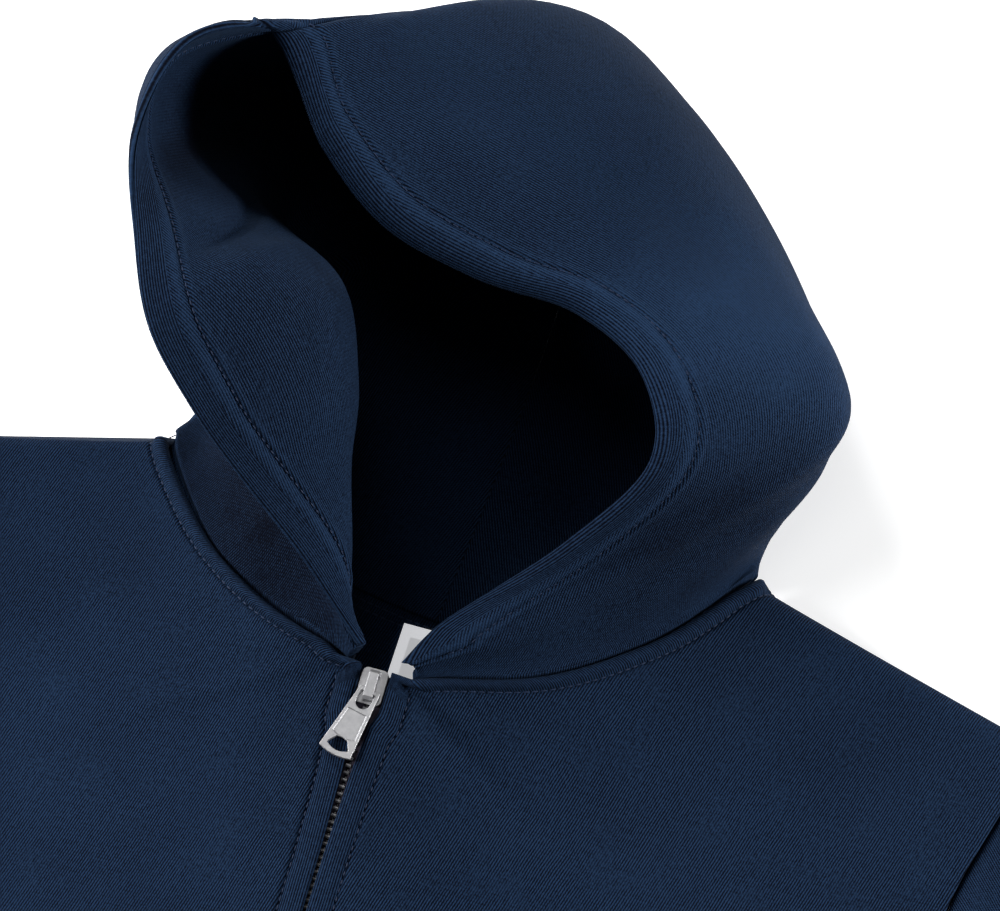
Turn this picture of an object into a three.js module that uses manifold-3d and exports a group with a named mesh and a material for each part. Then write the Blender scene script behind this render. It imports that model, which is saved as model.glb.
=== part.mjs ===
// A zip up hoodie in heavy knit, laid flat on its back with the hood filled out and open to the viewer.
// Millimetres, +Z up. X runs across the shoulders, +Y from the hem to the hood, and z = 0 is the table.
// While it is drawn, x = 0 is the middle of the back and y = 0 is the height of the two neck points.
import * as THREE from 'three';
import { mergeVertices } from 'three/addons/utils/BufferGeometryUtils.js';
import Module from 'manifold-3d';

// Cloth and seams
const CLOTH = 1.8;
const RIB_CLOTH = 2;
const SEAM = 0.3;
const HALF_SEAM = SEAM / 2;
const LAY = CLOTH + SEAM; // height of whatever lies on the back panel
const LOFT = 7.4; // top of the front over the table, away from the neck

// Zip line, in plan and in height
const ZIP_X = -10;
const ZIP_TOP_Y = -78;
const ZIP_LINE = [
  { y: -78, top: 38, halfGap: 5.3 },
  { y: -92.5, top: 34.8, halfGap: 5.1 },
  { y: -98, top: 33.6, halfGap: 3 },
  { y: -114, top: 30, halfGap: 1.6 },
  { y: -143, top: 24, halfGap: 0.7 },
  { y: -165, top: 20, halfGap: 0.5 },
  { y: -230, top: 13.5, halfGap: 0.5 },
  { y: -320, top: 9.6, halfGap: 0.5 },
  { y: -642, top: 9, halfGap: 0.5 },
  { y: -706, top: 9, halfGap: 0.5 },
];

// Body outline, right half; the left half is its mirror image
const NECK_POINT = { x: 111, y: 3 };
const HEM_Y = -642;
const HEM_HALF = 264;
const ARMHOLE = [
  { x: 219, y: -27 },
  { x: 211, y: -57 },
  { x: 202, y: -96 },
  { x: 200, y: -137 },
  { x: 209, y: -180 },
  { x: 235, y: -224 },
  { x: 270, y: -266 },
];
const ARMHOLE_STEPS = 11;

// Sleeve, cuff and waistband, right half
const SLEEVE_END = { outer: { x: 643, y: -451 }, inner: { x: 568, y: -526 } };
const SLEEVE_BEND = { outer: { x: 376, y: -71 }, inner: { x: 330, y: -345 } };
const CUFF_LENGTH = 64;
const CUFF_TAPER = 0.86;
const WAISTBAND_LENGTH = 63;
const RIB_PITCH = 9;
const RIB_RISE = 0.9;

// Finished edges on the front: a topstitched ridge round the neck and a placket beside the zip
const NECK_RIDGE = 5;
const PLACKET = 9.4;
const RIDGE_RISE = 1.2;
const PLACKET_RISE = 0.6;
const GROOVE = 0.4;
const FOLD = 9; // width over which an edge rolls down to the table
const FOLD_END = 0.7; // height of a rolled edge over the back panel

// Hood hem
const HEM_BAND = 16;
const HEM_MOST = 0.4; // the most of a section's length that the hem takes up
const HEM_STOPS = [0, 0.15, 0.55, 0.9, 1]; // shares of the hem's depth
const HEM_PROFILE = [0.35, 1, 0.9, 0.5, -0.3]; // share of its rise at those stops
const HEM_RISE = 0.9;
const LINING_SHARE = 0.3; // the inner side's share of that rise

// Hood sections, from the left end of the zip over the top to the right end of the zip. In each, the cloth
// runs from the edge of the opening over the crest, along the back and down to the neck seam.
const TOP_SECTION = 9;
const HOOD = [
  { edge: [-16, -75, 42], crest: [-16, -75, 41], back: [-17, -77, 39], neck: [-16, -76, 37] },
  { edge: [-29, -68, 59], crest: [-26, -63, 46], back: [-33, -65, 36], neck: [-38, -69, 34] },
  { edge: [-44, -60, 78], crest: [-32, -43, 54], back: [-47, -52, 32], neck: [-60, -58, 28] },
  { edge: [-66, -49, 98], crest: [-40, -18, 62], back: [-63, -29, 32], neck: [-81, -43, 22] },
  { edge: [-86, -39, 122], crest: [-45, 9, 72], back: [-75, 5, 26], neck: [-99, -22, 17] },
  { edge: [-105, -23, 141], crest: [-58, 36, 86], back: [-79, 34, 16], neck: [-110, -4, 13] },
  { edge: [-118, 4, 150], crest: [-85, 58, 74], back: [-90, 66, 12], neck: [-106, 3, 6] },
  { edge: [-131, 43, 151], crest: [-124, 76, 86], back: [-102, 98, 4], neck: [-84, -14, 2] },
  { edge: [-126, 85, 147], crest: [-124, 104, 104], back: [-74, 140, 4], neck: [-45, -32, 2] },
  { edge: [-99, 108, 128], crest: [-61, 149, 88], back: [-15, 186, 6], neck: [0, -40, 2] },
  { edge: [-73, 82, 117], crest: [-22, 177, 69], back: [22, 180, 6], neck: [30, -37, 2] },
  { edge: [-44, 63, 105], crest: [24, 160, 62], back: [55, 146, 6], neck: [58, -27, 2] },
  { edge: [-9, 57, 95], crest: [63, 130, 56], back: [86, 110, 6], neck: [82, -13, 2] },
  { edge: [28, 55, 91], crest: [94, 99, 50], back: [105, 70, 8], neck: [99, 1, 6] },
  { edge: [57, 37, 88], crest: [120, 61, 46], back: [107, 32, 13], neck: [104, 4, 13] },
  { edge: [68, 6, 80], crest: [112, 26, 42], back: [98, 4, 25], neck: [93, -13, 18] },
  { edge: [46, -26, 64], crest: [81, -15, 40], back: [78, -24, 29], neck: [74, -38, 24] },
  { edge: [21, -55, 50], crest: [42, -52, 42], back: [45, -53, 35], neck: [42, -63, 31] },
  { edge: [5, -75, 42], crest: [6, -75, 41], back: [5, -76, 39], neck: [2, -77, 37] },
];
const NECK_END = { left: 5, right: 14 }; // the sections that end at the two neck points
const HOOD_START = 0.5; // the first and last stretch of a section is taken up by the zip ends
const HOOD_STEPS = 18; // columns of faces in each half of the hood
const HOOD_ROWS = 8; // rows of faces from the hem down to the neck seam
const LINING_LIFT = 2 * (CLOTH + SEAM); // lowest the lining's inner face may lie

// Zip hardware; the slider and tab are drawn about the slider's middle, where the front's face is z = 0
const CHAIN = { width: 5.4, thick: 2.2 };
const TAPE = { width: 13, thick: 0.8 };
const ZIP_END_Y = -704;
const ZIP_BOX = { width: 9, length: 9, thick: 4 };
const SLIDER = { width: 9.4, length: 13, plate: 1.1, corner: 2, post: 3 };
const BRIDGE = { width: 3.4, span: 11, leg: 1.6, arch: 2.6, bar: 1.2, innerBevel: 0.8, outerBevel: 1.2 };
const TAB = { length: 26, top: 7.8, end: 12.4, thick: 1.5, bulge: 1.1, rim: 1.1 };
const TAB_SLOT = { width: 5.4, length: 6.4 };
const TAB_RECESS = { from: 8.6, to: 18.2, depth: 0.4 }; // how far along the tab it runs
const TAB_HOLE = { from: 19.6, to: 22.8, fromHalf: 2.2, toHalf: 4.2, fromBulge: 0.5, toBulge: 1.4 };
const TAB_HANG = { y: -2.2, z: 0.8, turn: -12.5, lift: 6.5 }; // where the tab hangs in the bridge; degrees
const LABEL = { left: -11, width: 42, top: -44, length: 55, thick: 1 };

const navy = { color: 0x0e1f3d, roughness: 0.95, metalness: 0 };
const CLOTHS = {
  knit: new THREE.MeshStandardMaterial(navy),
  lining: new THREE.MeshStandardMaterial({ ...navy, color: 0x0d1d39 }),
  rib: new THREE.MeshStandardMaterial({ ...navy, color: 0x0d1c38 }),
  tape: new THREE.MeshStandardMaterial({ ...navy, color: 0x1a1726 }),
  label: new THREE.MeshStandardMaterial({ color: 0xf2f2f2, roughness: 0.7, metalness: 0 }),
  metal: new THREE.MeshStandardMaterial({ color: 0xb9babd, roughness: 0.35, metalness: 1 }),
};

const group = new THREE.Group();
const { lerp, clamp, smoothstep } = THREE.MathUtils;

function add(name, geometry, material) {
  const mesh = new THREE.Mesh(geometry, material);
  mesh.name = name;
  group.add(mesh);
  return mesh;
}

// Value of a table's column at a place on its first column, which may rise or fall.
function lookUp(table, key, at, column) {
  const rising = table[table.length - 1][key] > table[0][key];
  const i = table.findIndex((row) => (rising ? row[key] >= at : row[key] <= at));
  if (i <= 0) return table[i === 0 ? 0 : table.length - 1][column];
  const [a, b] = [table[i - 1], table[i]];
  return lerp(a[column], b[column], (at - a[key]) / (b[key] - a[key]));
}

// A smooth curve through a list of numbers or vectors' coordinates, at a place counted in rows.
function through(values, at) {
  const last = values.length - 1;
  const i = clamp(Math.floor(at), 0, last - 1);
  const f = at - i;
  const b = values[i];
  const c = values[i + 1];
  const a = i > 0 ? values[i - 1] : 2 * b - c;
  const d = i < last - 1 ? values[i + 2] : 2 * c - b;
  return 0.5 * (2 * b + (c - a) * f + (2 * a - 5 * b + 4 * c - d) * f ** 2 + (3 * b - a - 3 * c + d) * f ** 3);
}

// Steps along a length: fixed distances at the start, even ones in the middle, fixed distances at the end.
function steps(total, first, middle, last = []) {
  const from = first[first.length - 1];
  const to = last.length ? total - last[0] : total;
  const between = Array.from({ length: middle }, (_, k) => lerp(from, to, (k + 1) / middle));
  return [...first, ...between, ...last.slice(1).map((d) => total - d)];
}

// Unit normals of a grid of points; a ring closes on itself along its second index.
function normalsOf(grid, ring) {
  const rows = grid.length - 1;
  const count = grid[0].length;
  const pick = (i, j) => grid[clamp(i, 0, rows)][ring ? (j + count) % count : clamp(j, 0, count - 1)];
  return grid.map((row, i) =>
    row.map((_, j) => {
      const along = pick(i + 1, j).clone().sub(pick(i - 1, j));
      const across = pick(i, j + 1).clone().sub(pick(i, j - 1));
      return along.cross(across).normalize();
    }),
  );
}

// A closed wall between two grids of the same size, the outer one on the side of its normals.
function wall(outer, inner, ring = false) {
  const rows = outer.length - 1;
  const count = outer[0].length;
  const cells = ring ? count : count - 1;
  const at = (i, j) => i * count + (j % count);
  const inside = outer.length * count;
  const index = [];
  const side = (p, q) => index.push(q, p, p + inside, q, p + inside, q + inside);
  for (let i = 0; i < rows; i++) {
    for (let j = 0; j < cells; j++) {
      const [a, b, c, d] = [at(i, j), at(i + 1, j), at(i + 1, j + 1), at(i, j + 1)];
      index.push(a, b, c, a, c, d);
      index.push(...[a, c, b, a, d, c].map((k) => k + inside));
    }
  }
  for (let j = 0; j < cells; j++) {
    side(at(rows, j), at(rows, j + 1));
    side(at(0, j + 1), at(0, j));
  }
  if (!ring) {
    for (let i = 0; i < rows; i++) {
      side(at(i, 0), at(i + 1, 0));
      side(at(i + 1, count - 1), at(i, count - 1));
    }
  }
  const geometry = new THREE.BufferGeometry().setFromPoints([...outer.flat(), ...inner.flat()]);
  geometry.setIndex(index);
  return geometry;
}

// A grid moved along its normals by a distance for each point, and kept above a level.
function moved(grid, normals, distance, floor) {
  return grid.map((row, i) =>
    row.map((point, j) => {
      const p = point.clone().addScaledVector(normals[i][j], distance(i, j));
      p.z = Math.max(p.z, floor);
      return p;
    }),
  );
}

// Every triangle turned over, for a piece that was made by mirroring.
function turnedOver(geometry) {
  const index = geometry.getIndex().array;
  for (let k = 0; k < index.length; k += 3) [index[k], index[k + 1]] = [index[k + 1], index[k]];
  return geometry;
}

// Hood: one smooth cubic through the four named points of a section, which the next section blends into. The
// two middle points lie on it at shares of its length that follow from how far apart the points are.
function hoodSection(at) {
  const coordinate = (name, k) => through(HOOD.map((s) => s[name][k]), at);
  const point = (name) => new THREE.Vector3(...[0, 1, 2].map((k) => coordinate(name, k)));
  const [edge, crest, back, neck] = ['edge', 'crest', 'back', 'neck'].map(point);
  const spans = [crest.distanceTo(edge), back.distanceTo(crest), neck.distanceTo(back)].map(Math.sqrt);
  const total = spans[0] + spans[1] + spans[2];
  const [s, t] = [spans[0] / total, (spans[0] + spans[1]) / total];
  const bare = (p, u) => p.clone().addScaledVector(edge, -((1 - u) ** 3)).addScaledVector(neck, -(u ** 3));
  const weights = (u) => [3 * (1 - u) ** 2 * u, 3 * (1 - u) * u ** 2];
  const [[a, b], [c, d]] = [weights(s), weights(t)];
  const [p, q] = [bare(crest, s), bare(back, t)];
  const determinant = a * d - b * c;
  const leave = p.clone().multiplyScalar(d / determinant).addScaledVector(q, -b / determinant);
  const arrive = q.clone().multiplyScalar(a / determinant).addScaledVector(p, -c / determinant);
  return new THREE.CubicBezierCurve3(edge, leave, arrive, neck);
}

const SECTION_SAMPLES = 80;
function hoodColumn(at) {
  const raw = hoodSection(at).getPoints(SECTION_SAMPLES);
  raw.forEach((p) => (p.z = Math.max(p.z, CLOTH + HALF_SEAM)));
  const lengths = [0];
  for (let k = 1; k < raw.length; k++) lengths.push(lengths[k - 1] + raw[k].distanceTo(raw[k - 1]));
  const total = lengths[lengths.length - 1];
  const band = Math.min(HEM_BAND, total * HEM_MOST);
  const stops = steps(total, HEM_STOPS.map((share) => share * band), HOOD_ROWS);
  return stops.map((s) => {
    const k = clamp(lengths.findIndex((l) => l >= s), 1, raw.length - 1);
    const share = (s - lengths[k - 1]) / (lengths[k] - lengths[k - 1]);
    return raw[k - 1].clone().lerp(raw[k], clamp(share, 0, 1));
  });
}

// Normals from the columns a little to each side, so that both halves agree at the seam over the top
const BESIDE = 0.1;
const TOP_SEAM = 0.006; // half the gap at the seam over the top, in sections
const LINING_BACK = 1; // how much further the lining's two halves stop from that seam
function hoodHalf(side, from, to) {
  const places = Array.from({ length: HOOD_STEPS + 1 }, (_, k) => lerp(from, to, k / HOOD_STEPS));
  const grid = places.map(hoodColumn);
  const normals = places.map((at) => normalsOf([at - BESIDE, at, at + BESIDE].map(hoodColumn))[1]);
  const rise = (j) => HEM_RISE * (HEM_PROFILE[j] ?? 0);
  const layer = (distance, floor) => moved(grid, normals, (i, j) => distance(j), floor);
  const stoppedShort = (rows) => {
    const [end, beside] = side === 'left' ? [HOOD_STEPS, HOOD_STEPS - 1] : [0, 1];
    rows[end].forEach((p, j) => p.add(rows[beside][j].clone().sub(p).setLength(LINING_BACK)));
    return rows;
  };
  const outer = wall(layer((j) => HALF_SEAM + CLOTH + rise(j), 0), layer(() => HALF_SEAM, CLOTH));
  const lining = wall(
    stoppedShort(layer(() => -HALF_SEAM, LAY)),
    stoppedShort(layer((j) => -HALF_SEAM - CLOTH - LINING_SHARE * rise(j), LINING_LIFT)),
  );
  add(`hood_outer_${side}`, outer, CLOTHS.knit);
  add(`hood_lining_${side}`, lining, CLOTHS.lining);
}
hoodHalf('left', HOOD_START, TOP_SECTION - TOP_SEAM);
hoodHalf('right', TOP_SECTION + TOP_SEAM, HOOD.length - 1 - HOOD_START);

// Armhole: the same straight chords serve the fronts, the back and the sleeves.
const armholeCurve = new THREE.SplineCurve(ARMHOLE.map((p) => new THREE.Vector2(p.x, p.y)));
const armhole = armholeCurve.getPoints(ARMHOLE_STEPS);

// Fronts
const zipTop = (y) => lookUp(ZIP_LINE, 'y', y, 'top');
const zipGap = (y) => lookUp(ZIP_LINE, 'y', y, 'halfGap');
const NECK_REACH = 60; // how far from the neck and the zip the raised front slopes away
const NECK_FALL = 1.3; // how suddenly it does
const slopingFrom = (height, d) => LOFT + (height - LOFT) * Math.exp(-((d / NECK_REACH) ** NECK_FALL));
const UNDERARM = 0.42; // share of the rows that ends at the underarm
const ZIP_START = 0.3; // share of the rows that ends at the top of the zip
const ZIP_TURN = 0.009; // share over which the neck ridge turns into the placket
const ZIP_ROWS = [-92.5, -98, -128]; // rows of the front that follow the gap beside and below the slider

// Neck seam of one front, from the neck point to the zip, set clear of the hood's wall.
const CHORD_ROOM = 0.9; // for the straight chords of two curves that run side by side
const NUDGE = 0.01; // of a section, to find which way the seam runs
function neckSeam(side, share) {
  const at = side > 0 ? lerp(NECK_END.right, HOOD.length - 1, share) : lerp(NECK_END.left, 0, share);
  const seam = hoodSection(at).v3;
  const ahead = hoodSection(at + NUDGE).v3.sub(hoodSection(at - NUDGE).v3);
  const away = new THREE.Vector3(-ahead.y, ahead.x, 0).normalize();
  const arrive = hoodSection(at).getTangent(1);
  const clear = SEAM + CHORD_ROOM + (CLOTH + HALF_SEAM) * Math.abs(arrive.z);
  return seam.addScaledVector(away, clear);
}

const NECK_SHARE = 0.9; // share of the top edge that the hood is sewn to; the rest is the placket's own end
const plan = (p) => new THREE.Vector3(p.x, p.y, 0);

// Inner edge of a front: down the neck from the shoulder, then down the zip.
function innerEdge(side, a) {
  const alongZip = (y) => new THREE.Vector3(ZIP_X + side * zipGap(y), y, zipTop(y) - CLOTH / 2);
  if (a <= ZIP_START) {
    const share = a / ZIP_START;
    const neckHeight = hoodSection(NECK_END.right).v3.z;
    if (share === 0) return new THREE.Vector3(side * NECK_POINT.x, NECK_POINT.y, neckHeight);
    if (share <= NECK_SHARE) return neckSeam(side, share / NECK_SHARE);
    return neckSeam(side, 1).lerp(alongZip(ZIP_TOP_Y), (share - NECK_SHARE) / (1 - NECK_SHARE));
  }
  return alongZip(lerp(ZIP_TOP_Y, HEM_Y, (a - ZIP_START) / (1 - ZIP_START)));
}

// Outer edge of a front: down the armhole from the shoulder, then down the side.
function outerEdge(side, a) {
  const underarm = armhole[ARMHOLE_STEPS];
  let p;
  if (a <= UNDERARM) {
    const at = (a / UNDERARM) * ARMHOLE_STEPS;
    const k = Math.min(Math.floor(at), ARMHOLE_STEPS - 1);
    p = armhole[k].clone().lerp(armhole[k + 1], at - k);
  } else {
    p = underarm.clone().lerp(new THREE.Vector2(HEM_HALF, HEM_Y), (a - UNDERARM) / (1 - UNDERARM));
  }
  return new THREE.Vector3(side * p.x, p.y, 0);
}

function distanceTo(p, a, b) {
  const nearest = new THREE.Line3(plan(a), plan(b)).closestPointToPoint(plan(p), true, new THREE.Vector3());
  return nearest.distanceTo(plan(p));
}

// Share of its full height that a folded edge has at a distance from the fold.
const folded = (d) => Math.sqrt(1 - (1 - clamp(d / FOLD, 0, 1)) ** 2);
const EDGE_STOPS = [0, 0.006, 0.02, 0.045];
const armholeStops = [
  ...EDGE_STOPS,
  ...Array.from({ length: ARMHOLE_STEPS - 1 }, (_, k) => (k + 1) / ARMHOLE_STEPS),
  ...EDGE_STOPS.map((q) => 1 - q).reverse(),
];

// Soft dents and swells of the front, in plan; each is a long hollow or rise at an angle in degrees.
const FRONT_FOLDS = [
  { x: 14, y: -92, long: 16, wide: 6, angle: -8, rise: -2.2 },
  { x: -34, y: -98, long: 22, wide: 9, angle: 60, rise: -1.6 },
  { x: 60, y: -120, long: 60, wide: 16, angle: -24, rise: 1.2 },
  { x: -78, y: -110, long: 50, wide: 15, angle: 30, rise: 1 },
  { x: 120, y: -240, long: 90, wide: 18, angle: -62, rise: 0.9 },
  { x: -130, y: -260, long: 90, wide: 20, angle: 58, rise: 0.9 },
  { x: 90, y: -420, long: 110, wide: 22, angle: -80, rise: 0.8 },
  { x: -105, y: -450, long: 120, wide: 20, angle: 84, rise: 0.8 },
  { x: 185, y: -520, long: 80, wide: 18, angle: -70, rise: 0.7 },
  { x: -190, y: -540, long: 80, wide: 18, angle: 72, rise: 0.7 },
];
function frontFolds(x, y) {
  return FRONT_FOLDS.reduce((sum, f) => {
    const turn = THREE.MathUtils.degToRad(f.angle);
    const along = ((x - f.x) * Math.cos(turn) + (y - f.y) * Math.sin(turn)) / f.long;
    const across = (-(x - f.x) * Math.sin(turn) + (y - f.y) * Math.cos(turn)) / f.wide;
    return sum + f.rise * Math.exp(-(along ** 2) - across ** 2);
  }, 0);
}

const FOLDS_FROM = 9; // the folds grow over this distance from the finished edge
const SIDE_STEPS = 6;
const ACROSS_STEPS = 3; // even ones, between the fixed stops beside both edges
const BAND_STOPS = [0, 0.2, 0.85]; // shares of the ridge's or placket's width
const BEYOND_STOPS = [0.6, 2.5]; // beyond it: the groove, and where that ends
const SLOPE_STOP = 30; // the first stop of the slope
const OUTER_STOPS = [24, 9, 4.5, 1.2, 0]; // from the outer edge
const EDGE_SHARE = 0.6; // of the rise, right at the finished edge
function frontPanel(side, name) {
  const shares = [
    ...armholeStops.map((q) => q * UNDERARM),
    ...ZIP_ROWS.map((y) => lerp(ZIP_START, 1, (ZIP_TOP_Y - y) / (ZIP_TOP_Y - HEM_Y))),
    ...Array.from({ length: SIDE_STEPS }, (_, k) => lerp(UNDERARM, 1, (k + 1) / SIDE_STEPS)),
  ].sort((a, b) => a - b);
  const shoulder = [{ x: side * NECK_POINT.x, y: NECK_POINT.y }, outerEdge(side, 0)];
  const sideSeam = [outerEdge(side, UNDERARM), outerEdge(side, 1)];
  const risen = [];
  const plain = [];
  for (const a of shares) {
    const from = innerEdge(side, a);
    const to = outerEdge(side, a);
    const length = plan(to).distanceTo(plan(from));
    const beside = smoothstep(a, ZIP_START - ZIP_TURN, ZIP_START + ZIP_TURN); // 0 by the neck, 1 by the zip
    const band = lerp(NECK_RIDGE, PLACKET, beside);
    const lift = lerp(RIDGE_RISE, PLACKET_RISE, beside);
    const profile = [EDGE_SHARE * lift, lift, lift, -GROOVE, 0];
    const inner = [...BAND_STOPS.map((share) => share * band), ...BEYOND_STOPS.map((d) => band + d), SLOPE_STOP];
    const stops = steps(length, inner, ACROSS_STEPS, OUTER_STOPS);
    const edgeHeight = from.z + CLOTH / 2;
    risen.push([]);
    plain.push([]);
    stops.forEach((d, j) => {
      const p = from.clone().lerp(to, d / length);
      const height = slopingFrom(edgeHeight, d) + frontFolds(p.x, p.y) * (1 - Math.exp(-d / FOLDS_FROM));
      const toFold = Math.min(distanceTo(p, ...shoulder), distanceTo(p, ...sideSeam));
      const end = LAY + FOLD_END;
      const z = end + (height - end) * folded(toFold);
      const up = (profile[j] ?? 0) * Math.min(1, toFold / FOLD);
      plain[plain.length - 1].push(new THREE.Vector3(p.x, p.y, z));
      risen[risen.length - 1].push(up);
    });
  }
  if (side < 0) {
    plain.reverse();
    risen.reverse();
  }
  const normals = normalsOf(plain);
  add(
    name,
    wall(
      moved(plain, normals, (i, j) => risen[i][j], LAY),
      moved(plain, normals, () => -CLOTH, LAY),
    ),
    CLOTHS.knit,
  );
}
frontPanel(1, 'front_right');
frontPanel(-1, 'front_left');

// Back: one flat panel on the table, hollowed at the neck, where the hood's lower edge meets it.
function backPanel() {
  const BACK_NECK_STEPS = 14;
  const outline = [];
  for (let k = 0; k <= BACK_NECK_STEPS; k++) {
    const at = lerp(NECK_END.left + 1, NECK_END.right - 1, k / BACK_NECK_STEPS);
    const seam = hoodSection(at).v3;
    outline.push(new THREE.Vector2(seam.x, seam.y - SEAM - CHORD_ROOM));
  }
  const neckPoint = new THREE.Vector2(NECK_POINT.x, NECK_POINT.y);
  const rightSide = [neckPoint, ...armhole, new THREE.Vector2(HEM_HALF, HEM_Y)];
  outline.push(...rightSide, ...rightSide.map((p) => new THREE.Vector2(-p.x, p.y)).reverse());
  return new THREE.ExtrudeGeometry(new THREE.Shape(outline), { depth: CLOTH, bevelEnabled: false });
}
add('back_panel', backPanel(), CLOTHS.knit);

// A flattened tube: rows of stops from one folded edge to the other, each with its top height.
function tube(rows) {
  const outer = [];
  const inner = [];
  for (const row of rows) {
    const middle = row[0].p.clone().lerp(row[row.length - 1].p, 0.5);
    const narrower = CLOTH / row[0].p.distanceTo(middle);
    const point = (p, z) => new THREE.Vector3(p.x, p.y, z);
    const insideOf = (j) => row[j].p.clone().lerp(middle, narrower);
    const back = row.map((_, j) => row.length - 1 - j);
    const upper = row.map((s) => point(s.p, s.top + (s.rib ?? 0)));
    outer.push([...upper, ...back.map((j) => point(row[j].p, 0))]);
    inner.push([
      ...row.map((s, j) => point(insideOf(j), Math.max(s.top - CLOTH, LAY))),
      ...back.map((j) => point(insideOf(j), CLOTH)),
    ]);
  }
  return wall(outer, inner, true);
}

// Sleeves: from the armhole to the cuff, between an outer and an inner edge that bend like an arm at rest.
const SLEEVE_STEPS = 8;
function sleeveRow(share) {
  const [shoulder, underarm] = [armhole[0], armhole[ARMHOLE_STEPS]];
  const flat = (p) => new THREE.Vector2(p.x, p.y);
  const curve = (from, bend, to) => new THREE.QuadraticBezierCurve(from, flat(bend), flat(to)).getPoint(share);
  const outer = curve(shoulder, SLEEVE_BEND.outer, SLEEVE_END.outer);
  const inner = curve(underarm, SLEEVE_BEND.inner, SLEEVE_END.inner);
  const width = outer.distanceTo(inner);
  return armholeStops.map((q) => {
    const at = q * ARMHOLE_STEPS;
    const k = Math.min(Math.floor(at), ARMHOLE_STEPS - 1);
    const seam = armhole[k].clone().lerp(armhole[k + 1], at - k);
    const bulge = seam.sub(shoulder.clone().lerp(underarm, q)).multiplyScalar((1 - share) ** 2);
    const p = outer.clone().lerp(inner, q).add(bulge);
    p.x += SEAM * 2 * (1 - share);
    const end = LAY + FOLD_END;
    return { p, top: end + (LOFT - end) * folded(Math.min(q, 1 - q) * width) };
  });
}
const acrossMiddle = (s) => ({ ...s, p: new THREE.Vector2(-s.p.x, s.p.y) });
const mirrored = (rows) => rows.map((row) => row.map(acrossMiddle));
const sleeveRows = Array.from({ length: SLEEVE_STEPS + 1 }, (_, k) => sleeveRow(k / SLEEVE_STEPS));
add('sleeve_right', turnedOver(tube(sleeveRows)), CLOTHS.knit);
add('sleeve_left', tube(mirrored(sleeveRows)), CLOTHS.knit);

// Ribbed cuffs and waistband: ribs on the upper side, each four columns wide.
const RIB_COLUMNS = [0, 1, 1, 0];
const ribAt = (k) => RIB_RISE * RIB_COLUMNS[k % RIB_COLUMNS.length];
function cuffRow(out, scale) {
  const [a, b] = [SLEEVE_END.outer, SLEEVE_END.inner].map((p) => new THREE.Vector2(p.x, p.y));
  const across = b.clone().sub(a);
  const along = new THREE.Vector2(-across.y, across.x).normalize();
  const middle = a.clone().lerp(b, 0.5).addScaledVector(along, out);
  const columns = Math.round(across.length() / RIB_PITCH) * RIB_COLUMNS.length;
  return Array.from({ length: columns + 1 }, (_, k) => {
    const p = middle.clone().addScaledVector(across, (k / columns - 0.5) * scale);
    const isEdge = k === 0 || k === columns;
    return { p, top: isEdge ? LAY + FOLD_END : LOFT, rib: isEdge ? 0 : ribAt(k) };
  });
}
const CUFF_GATHER = 0.95; // the cuff's width at its seam, of the sleeve's
const cuffRows = [cuffRow(SEAM, CUFF_GATHER), cuffRow(CUFF_LENGTH, CUFF_TAPER)];
add('cuff_right', turnedOver(tube(cuffRows)), CLOTHS.rib);
add('cuff_left', tube(mirrored(cuffRows)), CLOTHS.rib);

const ZIP_SWELL = 40; // how far to each side the zip lifts the waistband
// Folded side of the waistband: how far out its two faces lie beyond the side, and how high, of the loft
const BAND_FOLD = [
  { out: 2, outRise: 0.75, in: 1, inRise: 0.7 },
  { out: 3, outRise: 0.4, in: 1, inRise: 0.4 },
];
const BAND_FOOT = { out: 2, in: 1 }; // where that fold meets the table
const BAND_UNDER = [150, 0, -150]; // places across its underside
function waistband() {
  const top = (x) => LOFT + (zipTop(HEM_Y) + SEAM - LOFT) * Math.exp(-(((x - ZIP_X) / ZIP_SWELL) ** 2));
  const half = HEM_HALF - 1;
  const ring = [];
  const upper = (from, to) => {
    const columns = Math.round(Math.abs(to - from) / RIB_PITCH) * RIB_COLUMNS.length;
    for (let k = 0; k <= columns; k++) {
      const x = lerp(from, to, k / columns);
      const z = top(x);
      ring.push({ out: [x, z + ribAt(k)], in: [x, z - RIB_CLOTH] });
    }
  };
  const fold = (side, up) => {
    const points = BAND_FOLD.map((f) => ({
      out: [side * (half + f.out), LOFT * f.outRise],
      in: [side * (half + f.in), LOFT * f.inRise],
    }));
    points.push({ out: [side * (half + BAND_FOOT.out), 0], in: [side * (half + BAND_FOOT.in), RIB_CLOTH] });
    ring.push(...(up ? points.reverse() : points));
  };
  upper(ZIP_X + zipGap(HEM_Y), half);
  fold(1, false);
  for (const x of BAND_UNDER) ring.push({ out: [x, 0], in: [x, RIB_CLOTH] });
  fold(-1, true);
  upper(-half, ZIP_X - zipGap(HEM_Y));
  const ends = [HEM_Y - SEAM - WAISTBAND_LENGTH, HEM_Y - SEAM];
  const rows = (key) => ring.map((s) => ends.map((y) => new THREE.Vector3(s[key][0], y, s[key][1])));
  return wall(rows('out'), rows('in'));
}
add('waistband', waistband(), CLOTHS.rib);

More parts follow.
